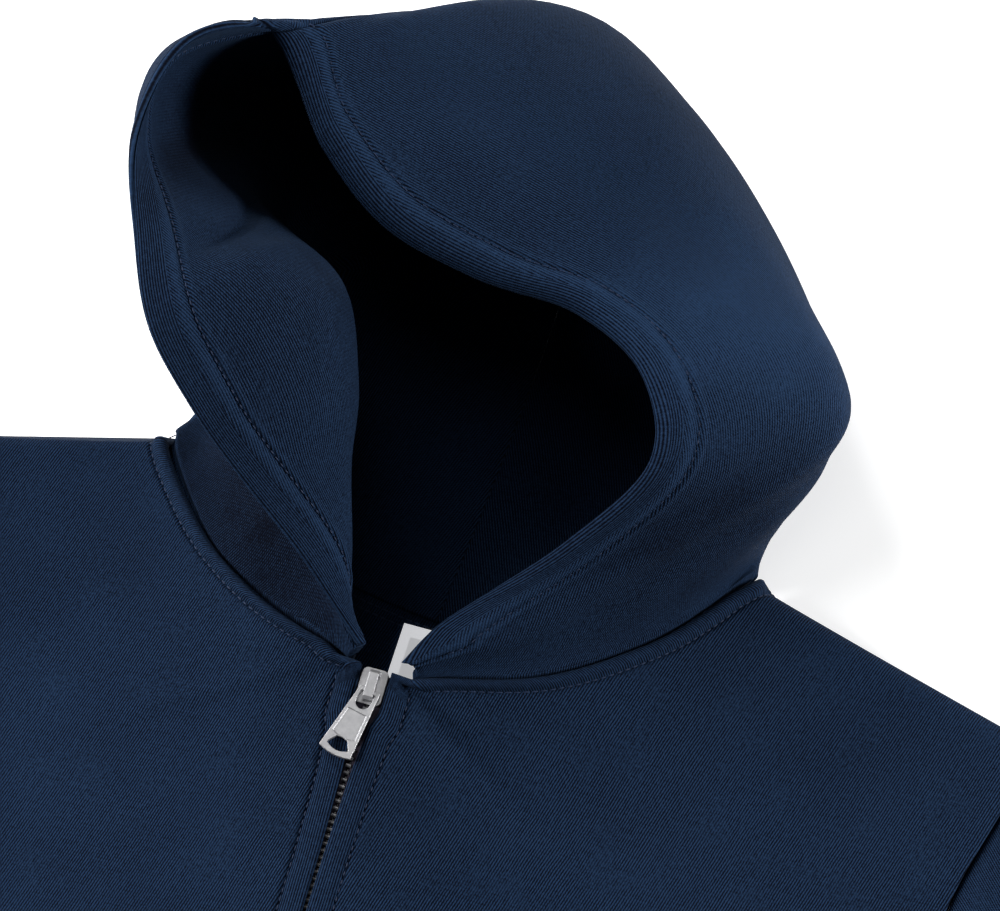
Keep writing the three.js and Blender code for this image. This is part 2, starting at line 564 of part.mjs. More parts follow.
// Zip: two tapes under the plackets, sloping away with them, and the closed chain between them.
function zipStops(from) {
  const to = ZIP_END_Y + ZIP_BOX.length;
  return [from, ...ZIP_LINE.map((row) => row.y).filter((y) => y < from && y > to), to];
}
const under = (y) => zipTop(y) - LAY;
const TAPE_DROP = 0.12; // how much further than the front a tape slopes away, of the front's height
function tape(side) {
  const near = CHAIN.width / 2 + SEAM;
  const level = (drop) =>
    zipStops(ZIP_TOP_Y - 1).map((y) =>
      [near, near + TAPE.width / 2, near + TAPE.width].map((d) => {
        const top = zipTop(y);
        const sag = (top - LOFT) * TAPE_DROP * ((d - near) / TAPE.width);
        return new THREE.Vector3(ZIP_X + side * d, y, slopingFrom(top, d - near) - sag - LAY - drop);
      }),
    );
  const geometry = wall(level(0), level(TAPE.thick));
  return side > 0 ? geometry : turnedOver(geometry);
}
add('zip_tape_right', tape(1), CLOTHS.tape);
add('zip_tape_left', tape(-1), CLOTHS.tape);
const sliderMiddle = ZIP_TOP_Y - SLIDER.length / 2;
const chainTop = sliderMiddle + SLIDER.length / 2 - SLIDER.post - SEAM * 2;
function chain() {
  const half = CHAIN.width / 2;
  const level = (drop) =>
    zipStops(chainTop).map((y) => [-half, half].map((x) => new THREE.Vector3(ZIP_X + x, y, under(y) - drop)));
  return wall(level(0), level(CHAIN.thick));
}
add('zip_chain', chain(), CLOTHS.metal);

// Joins and cuts of the hard pieces
const wasm = await Module();
wasm.setup();
function solid(geometry) {
  const bare = geometry.clone();
  bare.deleteAttribute('normal');
  bare.deleteAttribute('uv');
  const merged = mergeVertices(bare, 1e-4);
  return new wasm.Manifold(
    new wasm.Mesh({
      numProp: 3,
      vertProperties: new Float32Array(merged.getAttribute('position').array),
      triVerts: new Uint32Array(merged.getIndex().array),
    }),
  );
}
function geometryOf(manifold) {
  const mesh = manifold.getMesh();
  const geometry = new THREE.BufferGeometry();
  geometry.setAttribute('position', new THREE.BufferAttribute(Float32Array.from(mesh.vertProperties), 3));
  geometry.setIndex(Array.from(mesh.triVerts));
  return geometry;
}
const block = (x, y, z, cx, cy, cz) => new THREE.BoxGeometry(x, y, z).translate(cx, cy, cz);

// The slider's own frame follows the slope of the zip.
const SLOPE_RUN = 30;
const slope = Math.atan2(zipTop(ZIP_TOP_Y) - zipTop(ZIP_TOP_Y - SLOPE_RUN), SLOPE_RUN);
const sliderFrame = new THREE.Matrix4()
  .makeTranslation(ZIP_X, sliderMiddle, zipTop(sliderMiddle))
  .multiply(new THREE.Matrix4().makeRotationX(slope));

const pushedUp = (shape, thick, curveSegments, z) =>
  new THREE.ExtrudeGeometry(shape, { depth: thick, bevelEnabled: false, curveSegments }).translate(0, 0, z);

// One of the slider's two plates, with rounded corners
function plate(z) {
  const [w, l, r] = [SLIDER.width / 2, SLIDER.length / 2, SLIDER.corner];
  const shape = new THREE.Shape();
  shape.absarc(w - r, l - r, r, 0, Math.PI / 2);
  shape.absarc(-w + r, l - r, r, Math.PI / 2, Math.PI);
  shape.absarc(-w + r, -l + r, r, Math.PI, Math.PI * 1.5);
  shape.absarc(w - r, -l + r, r, Math.PI * 1.5, Math.PI * 2);
  return pushedUp(shape, SLIDER.plate, 4, z);
}

const JOIN = 0.2; // how far the bridge and post run into the plates
function slider() {
  const upper = -LAY + SEAM; // underside of the upper plate
  const lower = -LAY - CHAIN.thick - SEAM; // top of the lower plate
  const face = upper + SLIDER.plate;
  const inside = face + BRIDGE.arch;
  const crown = inside + BRIDGE.bar;
  const half = BRIDGE.span / 2;
  const leg = half - BRIDGE.leg;
  const arch = new THREE.Shape();
  arch.moveTo(-half, face - JOIN);
  arch.lineTo(-leg, face - JOIN);
  arch.lineTo(-leg, inside - BRIDGE.innerBevel);
  arch.lineTo(-leg + BRIDGE.innerBevel, inside);
  arch.lineTo(leg - BRIDGE.innerBevel, inside);
  arch.lineTo(leg, inside - BRIDGE.innerBevel);
  arch.lineTo(leg, face - JOIN);
  arch.lineTo(half, face - JOIN);
  arch.lineTo(half, crown - BRIDGE.outerBevel);
  arch.lineTo(half - BRIDGE.outerBevel, crown);
  arch.lineTo(-half + BRIDGE.outerBevel, crown);
  arch.lineTo(-half, crown - BRIDGE.outerBevel);
  arch.closePath();
  const bridge = pushedUp(arch, BRIDGE.width, 1, -BRIDGE.width / 2)
    .rotateY(Math.PI / 2)
    .rotateX(Math.PI / 2);
  const postHeight = upper - lower + 2 * JOIN;
  const postY = (SLIDER.length - SLIDER.post) / 2;
  const post = block(BRIDGE.width, SLIDER.post, postHeight, 0, postY, lower - JOIN + postHeight / 2);
  const joined = solid(plate(upper))
    .add(solid(plate(lower - SLIDER.plate)))
    .add(solid(post))
    .add(solid(bridge));
  return geometryOf(joined).applyMatrix4(sliderFrame);
}
add('zip_slider', slider(), CLOTHS.metal);

// Pull tab: a tapered plate with a raised rim, a slot round the bridge and a hole at its end.
function tabShape(inset, from, to) {
  const at = (y) => lerp(TAB.top, TAB.end, -y / TAB.length) / 2 - inset;
  const shape = new THREE.Shape();
  shape.moveTo(-at(from), from);
  shape.lineTo(-at(to), to);
  shape.quadraticCurveTo(0, to - 2 * TAB.bulge, at(to), to);
  shape.lineTo(at(from), from);
  shape.closePath();
  return shape;
}
function pullTab() {
  const half = TAB.thick / 2;
  const slot = new THREE.Shape();
  const [w, top, end] = [TAB_SLOT.width / 2, -half, -half - TAB_SLOT.length];
  slot.moveTo(-w, top);
  slot.lineTo(-w, end + w);
  slot.absarc(0, end + w, w, Math.PI, Math.PI * 2);
  slot.lineTo(w, top);
  slot.closePath();
  const hole = new THREE.Shape();
  const { from, to, fromHalf, toHalf, fromBulge, toBulge } = TAB_HOLE;
  hole.moveTo(-fromHalf, -from);
  hole.lineTo(-toHalf, -to);
  hole.quadraticCurveTo(0, -to - 2 * toBulge, toHalf, -to);
  hole.lineTo(fromHalf, -from);
  hole.quadraticCurveTo(0, -from + 2 * fromBulge, -fromHalf, -from);
  const recess = tabShape(TAB.rim, -TAB_RECESS.from, -TAB_RECESS.to);
  const cut = (shape, z) => solid(pushedUp(shape, TAB.thick * 2, 6, z));
  const body = solid(pushedUp(tabShape(0, half, -TAB.length + TAB.bulge), TAB.thick, 6, -half))
    .subtract(cut(slot, -TAB.thick))
    .subtract(cut(hole, -TAB.thick))
    .subtract(cut(recess, half - TAB_RECESS.depth));
  const hang = new THREE.Matrix4()
    .makeTranslation(0, TAB_HANG.y, TAB_HANG.z)
    .multiply(new THREE.Matrix4().makeRotationZ(THREE.MathUtils.degToRad(TAB_HANG.turn)))
    .multiply(new THREE.Matrix4().makeRotationX(THREE.MathUtils.degToRad(-TAB_HANG.lift)));
  return geometryOf(body).applyMatrix4(new THREE.Matrix4().multiplyMatrices(sliderFrame, hang));
}
add('zip_pull_tab', pullTab(), CLOTHS.metal);

// Retainer box at the foot of the zip
add(
  'zip_box',
  block(
    ZIP_BOX.width, ZIP_BOX.length - SEAM, ZIP_BOX.thick,
    ZIP_X, ZIP_END_Y + (ZIP_BOX.length - SEAM) / 2, under(ZIP_END_Y) - ZIP_BOX.thick / 2,
  ),
  CLOTHS.metal,
);

// Neck label, sewn below the back neck seam and lying on the back panel
function neckLabel() {
  const { left, width, top, length, thick } = LABEL;
  return block(width, length, thick, left + width / 2, top - length / 2, LAY + thick / 2);
}
add('neck_label', neckLabel(), CLOTHS.label);

// The origin is the middle of the garment's footprint, on the table.
const bounds = new THREE.Box3().setFromObject(group);
const middle = bounds.getCenter(new THREE.Vector3());
group.position.set(-middle.x, -middle.y, 0);

export default group;
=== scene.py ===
import math
import bpy
import numpy as np
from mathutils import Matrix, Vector


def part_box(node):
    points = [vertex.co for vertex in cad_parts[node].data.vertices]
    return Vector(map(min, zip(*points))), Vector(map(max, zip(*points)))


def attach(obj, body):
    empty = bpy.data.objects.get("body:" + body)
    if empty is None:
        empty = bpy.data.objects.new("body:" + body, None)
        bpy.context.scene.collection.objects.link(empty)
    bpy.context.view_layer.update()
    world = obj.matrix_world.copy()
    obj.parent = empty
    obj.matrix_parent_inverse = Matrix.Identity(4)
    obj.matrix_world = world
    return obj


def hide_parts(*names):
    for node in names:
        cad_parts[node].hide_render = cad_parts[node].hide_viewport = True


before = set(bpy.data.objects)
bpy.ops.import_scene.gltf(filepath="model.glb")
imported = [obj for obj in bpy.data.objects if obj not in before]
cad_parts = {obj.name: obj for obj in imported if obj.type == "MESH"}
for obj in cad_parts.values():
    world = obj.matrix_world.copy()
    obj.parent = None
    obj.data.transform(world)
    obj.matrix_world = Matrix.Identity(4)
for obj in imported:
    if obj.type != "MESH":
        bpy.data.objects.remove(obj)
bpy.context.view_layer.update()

MM = 0.001
SHIFT = np.array([0.0, 256.4, 0.0])  # from the drawing's origin, between the neck points, to the row's


def placed(points):
    """Points in millimetres from the neck points, as metres in the row's frame."""
    return (np.asarray(points, float) + SHIFT) * MM


def in_scene(name, data):
    """A new object in the scene."""
    made = bpy.data.objects.new(name, data)
    bpy.context.scene.collection.objects.link(made)
    return made


camera_data = bpy.data.cameras.new("View from the hem")
camera = in_scene("View from the hem", camera_data)
bpy.context.scene.camera = camera
camera.location = placed((248.75, -800.63, 1778.17))
looks_at = Vector(placed((12.19, -2.02, 70.46)))
camera.rotation_euler = (looks_at - camera.location).to_track_quat("-Z", "Y").to_euler()
camera_data.lens = 196.308
camera_data.sensor_width = 36
camera_data.clip_end = 20


# Hood. Two halves, each of two layers of heavy brushed knit that turn over at the hem, are sewn together over
# the head. The hem is topstitched a thumb's width from the edge, and the neck edge is sewn to the fronts and
# the back.
def feed(node, inputs):
    """Sets a node's sockets to values, or links wires to them."""
    for key, value in dict(inputs).items():
        if isinstance(value, Wire):
            value.tree.links.new(value.socket, node.inputs[key])
        else:
            node.inputs[key].default_value = value


class Wire:
    """One socket of a node tree. Sums of wires and numbers add Math nodes, and node() adds any other kind."""

    def __init__(self, tree, socket=None):
        self.tree, self.socket = tree, socket

    def node(self, kind, inputs=(), output=0, **settings):
        made = self.tree.nodes.new(kind)
        for name, value in settings.items():
            setattr(made, name, value)
        feed(made, inputs)
        return Wire(self.tree, made.outputs[output])

    def beside(self, output):
        """Another output of the same node."""
        return Wire(self.tree, self.socket.node.outputs[output])

    def maths(self, operation, *values):
        return self.node("ShaderNodeMath", dict(enumerate(values)), operation=operation)

    def __add__(self, other): return self.maths("ADD", self, other)
    def __radd__(self, other): return self.maths("ADD", other, self)
    def __sub__(self, other): return self.maths("SUBTRACT", self, other)
    def __rsub__(self, other): return self.maths("SUBTRACT", other, self)
    def __mul__(self, other): return self.maths("MULTIPLY", self, other)
    def __rmul__(self, other): return self.maths("MULTIPLY", other, self)
    def sin(self): return self.maths("SINE", self)
    def within(self, low, high): return self.maths("MINIMUM", self.maths("MAXIMUM", self, low), high)

    def ramp(self, low, high, to_low=0.0, to_high=1.0):
        """Follows this value smoothly from one range to another, and stays at its ends outside it."""
        return self.node(
            "ShaderNodeMapRange",
            {"Value": self, "From Min": low, "From Max": high, "To Min": to_low, "To Max": to_high},
            interpolation_type="SMOOTHSTEP",
        )


def mixed(share, first, second):
    """A colour between two others."""
    return share.node("ShaderNodeMix", {0: share, 6: first, 7: second}, output=2, data_type="RGBA")


def finish_of(name):
    """A new material: its start wire and its shader."""
    material = bpy.data.materials.new(name)
    material.use_nodes = True
    shader = material.node_tree.nodes["Principled BSDF"]
    return material, Wire(material.node_tree), shader


CLOTH = 1.8
SEAM = 0.3
HALF_SEAM = SEAM / 2
HEM_BAND = 16.0
HOOD = np.array([  # each row: edge of the opening, crest, back and neck seam of one section
    [(-16, -75, 42), (-16, -75, 41), (-17, -77, 39), (-16, -76, 37)],
    [(-29, -68, 59), (-26, -63, 46), (-33, -65, 36), (-38, -69, 34)],
    [(-44, -60, 78), (-32, -43, 54), (-47, -52, 32), (-60, -58, 28)],
    [(-66, -49, 98), (-40, -18, 62), (-63, -29, 32), (-81, -43, 22)],
    [(-86, -39, 122), (-45, 9, 72), (-75, 5, 26), (-99, -22, 17)],
    [(-105, -23, 141), (-58, 36, 86), (-79, 34, 16), (-110, -4, 13)],
    [(-118, 4, 150), (-85, 58, 74), (-90, 66, 12), (-106, 3, 6)],
    [(-131, 43, 151), (-124, 76, 86), (-102, 98, 4), (-84, -14, 2)],
    [(-126, 85, 147), (-124, 104, 104), (-74, 140, 4), (-45, -32, 2)],
    [(-99, 108, 128), (-61, 149, 88), (-15, 186, 6), (0, -40, 2)],
    [(-73, 82, 117), (-22, 177, 69), (22, 180, 6), (30, -37, 2)],
    [(-44, 63, 105), (24, 160, 62), (55, 146, 6), (58, -27, 2)],
    [(-9, 57, 95), (63, 130, 56), (86, 110, 6), (82, -13, 2)],
    [(28, 55, 91), (94, 99, 50), (105, 70, 8), (99, 1, 6)],
    [(57, 37, 88), (120, 61, 46), (107, 32, 13), (104, 4, 13)],
    [(68, 6, 80), (112, 26, 42), (98, 4, 25), (93, -13, 18)],
    [(46, -26, 64), (81, -15, 40), (78, -24, 29), (74, -38, 24)],
    [(14, -57, 50), (39, -53, 43), (45, -53, 35), (42, -63, 31)],
    [(0, -75, 42), (2, -75, 41), (3, -76, 39), (2, -77, 37)],
], float)
TOP_SECTION = 9
CROWN_GAP = 0.004  # half the gap between the halves over the head, in sections
NECK_END = {"left": 5, "right": 14}


def through(rows, at):
    """A smooth curve through a table's rows, at places counted in rows."""
    at = np.atleast_1d(np.asarray(at, float))
    last = len(rows) - 1
    i = np.clip(np.floor(at).astype(int), 0, last - 1)
    spread = (slice(None),) + (None,) * (rows.ndim - 1)
    f = (at - i)[spread]
    b, c = rows[i], rows[i + 1]
    a = np.where((i > 0)[spread], rows[np.maximum(i - 1, 0)], 2 * b - c)
    d = np.where((i < last - 1)[spread], rows[np.minimum(i + 2, last)], 2 * c - b)
    return 0.5 * (2 * b + (c - a) * f + (2 * a - 5 * b + 4 * c - d) * f**2 + (3 * b - a - 3 * c + d) * f**3)


def hood_sections(at):
    """The four control points of the cubic through each section's named points."""
    points = through(HOOD, at)
    roots = np.sqrt(np.linalg.norm(np.diff(points, axis=1), axis=2))
    s = (roots[:, 0] / roots.sum(1))[:, None]
    t = ((roots[:, 0] + roots[:, 1]) / roots.sum(1))[:, None]
    edge, crest, back, neck = (points[:, k] for k in range(4))
    p = crest - (1 - s) ** 3 * edge - s**3 * neck
    q = back - (1 - t) ** 3 * edge - t**3 * neck
    a, b = 3 * (1 - s) ** 2 * s, 3 * (1 - s) * s**2
    c, d = 3 * (1 - t) ** 2 * t, 3 * (1 - t) * t**2
    return np.stack([edge, (p * d - q * b) / (a * d - b * c), (q * a - p * c) / (a * d - b * c), neck], 1)


def lengths_along(points):
    """How far along a line each of its points lies."""
    return np.concatenate([[0], np.cumsum(np.linalg.norm(np.diff(points, axis=0), axis=1))])


def unit(vectors):
    """The same directions, each with a length of 1."""
    return vectors / np.maximum(np.linalg.norm(vectors, axis=-1, keepdims=True), 1e-9)


def hood_middle(at, stops_of):
    """The layer between the two cloths: a row for each place along the hem, a column for each stop."""
    u = np.linspace(0, 1, 241)[:, None]
    weights = np.hstack([(1 - u) ** 3, 3 * (1 - u) ** 2 * u, 3 * (1 - u) * u**2, u**3])
    grid = np.einsum("uk,nkd->nud", weights, hood_sections(at))
    grid[..., 2] = np.maximum(grid[..., 2], CLOTH + HALF_SEAM)
    rows, along = [], []
    for section in grid:
        lengths = lengths_along(section)
        stops = stops_of(lengths[-1])
        rows.append(np.stack([np.interp(stops, lengths, section[:, k]) for k in range(3)], 1))
        along.append(stops)
    return np.array(rows), np.array(along)


def flat_pattern(grid, net=(44, 26), turns=1500, ease=1.3):
    """The cloth of a grid laid out flat as it was cut, in millimetres, with every length as near as it can
    be to its own. An even net over the cloth settles in many turns, and the grid's points are read off it."""
    steps = np.linalg.norm(np.diff(grid, axis=1), axis=2)
    down = np.concatenate([np.zeros((len(grid), 1)), np.cumsum(steps, axis=1)], 1)
    down /= down[:, -1:]
    side = np.concatenate([[0], np.cumsum(np.linalg.norm(np.diff(grid, axis=0), axis=2).mean(1))])
    side /= side[-1]
    shares = [np.linspace(0, 1, n) for n in net]
    lines = np.array([[np.interp(shares[1], d, row[:, k]) for k in range(3)] for d, row in zip(down, grid)])
    coarse = np.array([[np.interp(shares[0], side, lines[:, k, c]) for k in range(3)] for c in range(net[1])])
    coarse = coarse.transpose(2, 0, 1)
    flat = np.zeros(net + (2,))
    flat[:, 1:, 1] = np.cumsum(np.linalg.norm(np.diff(coarse, axis=1), axis=2).mean(0))[None]
    flat[1:, :, 0] = np.cumsum(np.linalg.norm(np.diff(coarse, axis=0), axis=2).mean(1))[:, None]
    links = []
    for di, dj in ((1, 0), (0, 1), (1, 1), (1, -1), (2, 0), (0, 2)):
        a = (slice(0, net[0] - di), slice(max(0, -dj), net[1] - max(0, dj)))
        b = (slice(di, net[0]), slice(max(0, dj), net[1] + min(0, dj)))
        links.append((a, b, np.linalg.norm(coarse[b] - coarse[a], axis=2)))
    for _ in range(turns):
        move = np.zeros_like(flat)
        count = np.zeros(net + (1,))
        for a, b, rest in links:
            span = flat[b] - flat[a]
            length = np.maximum(np.linalg.norm(span, axis=2), 1e-6)
            pull = span * (0.5 * (length - rest) / length)[..., None]
            move[a] += pull
            move[b] -= pull
            count[a] += 1
            count[b] += 1
        flat += move / count * ease
    rows = through(flat, side * (net[0] - 1))
    return np.array([through(row, d * (net[1] - 1)) for row, d in zip(rows, down)])


def piece_from(name, points, faces, cut):
    """A mesh object from points in millimetres, with its flat pattern as its UV map, in metres."""
    mesh = bpy.data.meshes.new(name)
    mesh.from_pydata([tuple(p) for p in placed(points)], [], [tuple(f) for f in faces])
    corners = np.empty(len(mesh.loops), int)
    mesh.loops.foreach_get("vertex_index", corners)
    mesh.uv_layers.new(name="cut").data.foreach_set("uv", (cut[corners] * MM).ravel())
    mesh.polygons.foreach_set("use_smooth", np.ones(len(mesh.polygons), bool))
    return in_scene(name, mesh)


def cloth(name, outside, inside, cut, ring=False):
    """A closed skin between two grids of points: two faces of cloth joined along their edges."""
    rows, columns = outside.shape[:2]
    at = np.arange(rows * columns).reshape(rows, columns)
    right = np.roll(at, -1, 1) if ring else at[:, 1:]
    left = at if ring else at[:, :-1]
    a, b, c, d = left[:-1].ravel(), left[1:].ravel(), right[1:].ravel(), right[:-1].ravel()
    below = rows * columns
    faces = [np.stack([a, b, c, d], 1), np.stack([d, c, b, a], 1) + below]
    borders = [(left[-1], right[-1]), (right[0], left[0])]
    if not ring:
        borders += [(at[:-1, 0], at[1:, 0]), (at[1:, -1], at[:-1, -1])]
    faces += [np.stack([q, p, p + below, q + below], 1) for p, q in borders]
    faces = np.concatenate(faces)
    points = np.concatenate([outside.reshape(-1, 3), inside.reshape(-1, 3)])
    corner = points[faces]
    volume = np.einsum("ij,ij->i", np.cross(corner[:, 0], corner[:, 1]), corner[:, 2]).sum()
    volume += np.einsum("ij,ij->i", np.cross(corner[:, 0], corner[:, 2]), corner[:, 3]).sum()
    if volume < 0:
        faces = faces[:, ::-1]
    return piece_from(name, points, faces, np.concatenate([cut.reshape(-1, 2)] * 2))


def sewn_in(piece, material, slot, nodes, **sheet):
    """Gives a cloth piece its finish, and the place of the solids that it stands for."""
    piece.data.materials.append(material)
    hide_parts(*nodes)
    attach(piece, "garment")


NAVY_DARK = (0.0003, 0.0011, 0.0048, 1)
NAVY_LIGHT = (0.0124, 0.0315, 0.0750, 1)
WALE, LOOP = 0.95, 1.25  # from one wale to the next, and from loop to loop along a wale, in mm
LOOP_SHIFT, WANDER = 5.1, 0.5  # turn of the loops' rhythm per mm across the wales, and how far a wale strays
KNIT_NOISES = (  # scale, detail and roughness
    (90, 2, 0.6),     # wander of the wales
    (1300, 2, 0.7),   # yarn
    (520, 2, 0.5),    # flecks
    (22, 3, 0.55),    # clouds of paler nap
    (55, 2, 0.5),     # where the nap is brushed over the wales
)
NAP_TONE, LOOP_DEPTH, HEM_WALE_TONE = 0.4, 0.4, 0.75
STRAND_SHARE, YARN_SHARE, FLECK_SHARE, CLOUD_SHARE, LESS_SHARE = 1.3, 1.2, 0.7, 0.35, 0.1  # in the tone
STRAND_RELIEF, YARN_RELIEF, FLECK_RELIEF = 0.9, 0.6, 0.35


def knit(name, slant, with_hem=False):
    """Brushed knit: fine slanting wales with paler flecks, on the piece's cut. slant is in degrees from the
    cut's first direction. With a hem, the wales run along it where the piece is marked "hem_band"."""
    material, wire, shader = finish_of(name)
    cut = wire.node("ShaderNodeUVMap", uv_map="cut")
    marked = lambda title: wire.node("ShaderNodeAttribute", output=2, attribute_name=title)
    wander, yarn, fleck, cloud, brushed = (
        wire.node("ShaderNodeTexNoise", {"Vector": cut, "Scale": scale, "Detail": detail, "Roughness": rough})
        for scale, detail, rough in KNIT_NOISES)
    u = wire.node("ShaderNodeSeparateXYZ", {0: cut})
    v = u.beside(1)
    turn = math.radians(slant)
    across = (u * math.sin(turn) - v * math.cos(turn)) * (1 / MM) + (wander - 0.5) * WANDER
    along = (u * math.cos(turn) + v * math.sin(turn)) * (1 / MM)
    wale = (across * (2 * math.pi / WALE)).sin() * 0.5 + 0.5
    loops = (along * (2 * math.pi / LOOP) + across * LOOP_SHIFT).sin() * 0.5 + 0.5
    clear = brushed.ramp(0.34, 0.5, 0.55, 1.0)
    strand = (wale * (loops * LOOP_DEPTH + (1 - LOOP_DEPTH)) - NAP_TONE) * clear + NAP_TONE
    if with_hem:
        hem_wale = (marked("from_hem") * (2 * math.pi / WALE / MM)).sin() * 0.5 + 0.5
        strand = strand + marked("hem_band").ramp(0.3, 0.7) * (hem_wale * HEM_WALE_TONE - strand)
    speck = (yarn - 0.5) * YARN_SHARE + (fleck - 0.5) * FLECK_SHARE
    share = strand * STRAND_SHARE + speck + (cloud - 0.5) * CLOUD_SHARE - LESS_SHARE
    # painted light and shade on the hood, with the pressed nap of its hem ridges, read from a mark
    if with_hem:
        share = share + marked("wear_and_painted_light")
    share = share.within(0, 1)
    relief = strand * STRAND_RELIEF + yarn * YARN_RELIEF + fleck * FLECK_RELIEF
    feed(shader, {
        "Base Color": mixed(share, NAVY_DARK, NAVY_LIGHT),
        "Roughness": 0.95 - share * 0.12,
        "Normal": wire.node("ShaderNodeBump", {"Height": relief, "Strength": 0.45, "Distance": 0.0006}),
        "Specular IOR Level": 0.07,
        "Sheen Weight": 0.03,
        "Sheen Roughness": 0.4,
        "Sheen Tint": (0.30, 0.50, 0.85, 1),
    })
    return material


def mark(piece, name, outer, inner=None):
    """A number for each point of a piece's two faces, for its material to read."""
    both = np.concatenate([np.ravel(outer), np.ravel(outer if inner is None else inner)]).astype(float)
    piece.data.attributes.new(name, "FLOAT", "POINT").data.foreach_set("value", both)


def bell(value, middle, width):
    """A soft hump, 1 at its middle."""
    return np.exp(-(((value - middle) / width) ** 2))


def rolled(distance, radius):
    """Share of its half thickness that a cloth has at a distance from a turned edge."""
    return np.sqrt(np.clip(1 - (1 - np.clip(distance / radius, 0, 1)) ** 2, 0, 1))


HEM_SHARES = np.array([
    0, .004, .012, .025, .045, .07, .1, .15, .21, .28, .35, .42, .49, .56, .63, .70, .76, .81, .85, .885,
    .915, .94, .96, .98, 1, 1.02, 1.04, 1.065, 1.095, 1.13, 1.165, 1.20, 1.25, 1.35])
HEM_RISE = ((0, .05, .12, .28, .45, .56, .68, .80, .90, .955, 1, 1.035, 1.07, 1.12, 1.17, 1.22, 1.35, 2.2),
            (0, .30, .45, .45, .60, 1.10, 1.50, 1.60, 1.20, .30, -.75, .10, .75, .95, .70, .15, 0, 0))
HOOD_FOLDS = [  # place along the hem in sections, share of the way down, length, width, turn, and rise in mm
    (14.4, 0.52, 1.9, 0.045, -0.06, 1.3), (14.0, 0.62, 2.0, 0.05, -0.05, -1.3),
    (13.0, 0.36, 1.2, 0.05, 0.05, 0.8), (16.2, 0.40, 0.9, 0.06, 0.10, 1.0),
    (16.6, 0.62, 0.8, 0.06, 0.12, -1.0), (12.2, 0.22, 0.6, 0.03, 0.02, -0.8),
    (15.3, 0.30, 0.6, 0.035, -0.12, -0.7), (10.8, 0.34, 1.3, 0.05, -0.03, 0.9),
    (11.4, 0.58, 1.5, 0.06, 0.05, -1.1), (10.2, 0.70, 1.0, 0.06, 0.04, 1.0),
    (3.2, 0.30, 1.4, 0.07, 0.08, 0.9), (5.2, 0.45, 1.3, 0.06, -0.06, -1.0),
    (6.6, 0.35, 1.0, 0.06, 0.05, 0.9), (7.9, 0.55, 1.1, 0.07, -0.05, -1.1),
    (13.2, 0.82, 1.2, 0.05, 0.04, 1.2), (8.2, 0.80, 1.2, 0.06, 0.03, 1.0),
    (6.05, 0.24, 0.34, 0.045, 0.42, 4.5), (5.45, 0.22, 0.30, 0.10, 0.30, -2.0),
]
HOOD_PAINTED_LIGHT = [  # the same columns, where the last one is painted light on the knit there, and painted shade where it is below 0
    (13.7, 0.30, 0.85, 0.26, 0.0, 0.50), (15.7, 0.45, 0.75, 0.40, 0.0, -0.30),
    (10.6, 0.55, 1.1, 0.30, 0.0, -0.16), (7.3, 0.24, 1.3, 0.14, 0.0, -0.30),
    (6.9, 0.22, 0.6, 0.10, 0.30, -0.40), (4.9, 0.34, 1.0, 0.22, 0.0, -0.12),
    (1.6, 0.5, 1.2, 0.5, 0.0, 0.06),
]
UNDER_HEM_SHADE = [(2.6, 0.72, 2.2, 0.42, 0.0, -0.62)]  # painted shade on the outer face, deep between the left hem and the neck
RIDGE_WEAR_AND_HIGHLIGHT = ((0.82, 0.13), (1.13, 0.06))  # place and width in hem bands of the ridges, paler where the nap is pressed smooth and by a painted highlight


def hood_patches(at, share, table):
    """A sum of soft patches over the hood, each at a place of its own."""
    total = np.zeros(share.shape)
    for place, down, long, wide, turn, rise in table:
        x = (at[:, None] - place) / long
        y = (share - down - turn * (at[:, None] - place)) / wide
        total += rise * np.exp(-(x**2) - y**2)
    return total


def puckers(length, seed):
    """Small uneven gathers along a seam, from -1 to 1, at places in millimetres along it."""
    rng = np.random.default_rng(seed)
    total = np.zeros(np.shape(length))
    for wave in (7.3, 9.9, 13.1, 19.0, 31.0):
        total = total + rng.uniform(0.4, 1) * np.sin(2 * np.pi * length / wave + rng.uniform(0, 6.28))
    return total / 2.4


RIM_CURL = ((0, 4.5, 8.2, 8.8, 10.0, 12.5, 13.6, 14.6, 16.0, 17.2, 18), (0, 0, 1.5, 5, 9, 9, 7, 5, 5, 5, 2))
CURL_COLUMNS, CURL_TURN = 9, 1.7  # and how far round the rim the hem turns, in radians


def with_curl(grid, normal, along, at):
    """Adds the stretch of hem that curls over the rim into the opening, of a depth that varies along it."""
    depth = np.interp(at, *RIM_CURL)[:, None] + 0.02
    share = np.linspace(1, 0, CURL_COLUMNS + 1)[None, :-1]
    outward = unit(grid[:, :1] - grid[:, 1:2])
    radius = np.maximum(depth / CURL_TURN, 0.5)
    turn = depth * share / radius
    out = (radius * np.sin(turn))[..., None]
    down = (radius * (1 - np.cos(turn)))[..., None]
    curl = grid[:, :1] + outward * out - normal[:, :1] * down
    curl_normal = normal[:, :1] * np.cos(turn)[..., None] + outward * np.sin(turn)[..., None]
    return (np.concatenate([curl, grid], 1), np.concatenate([curl_normal, normal], 1),
            np.concatenate([-depth * share, along], 1), depth)


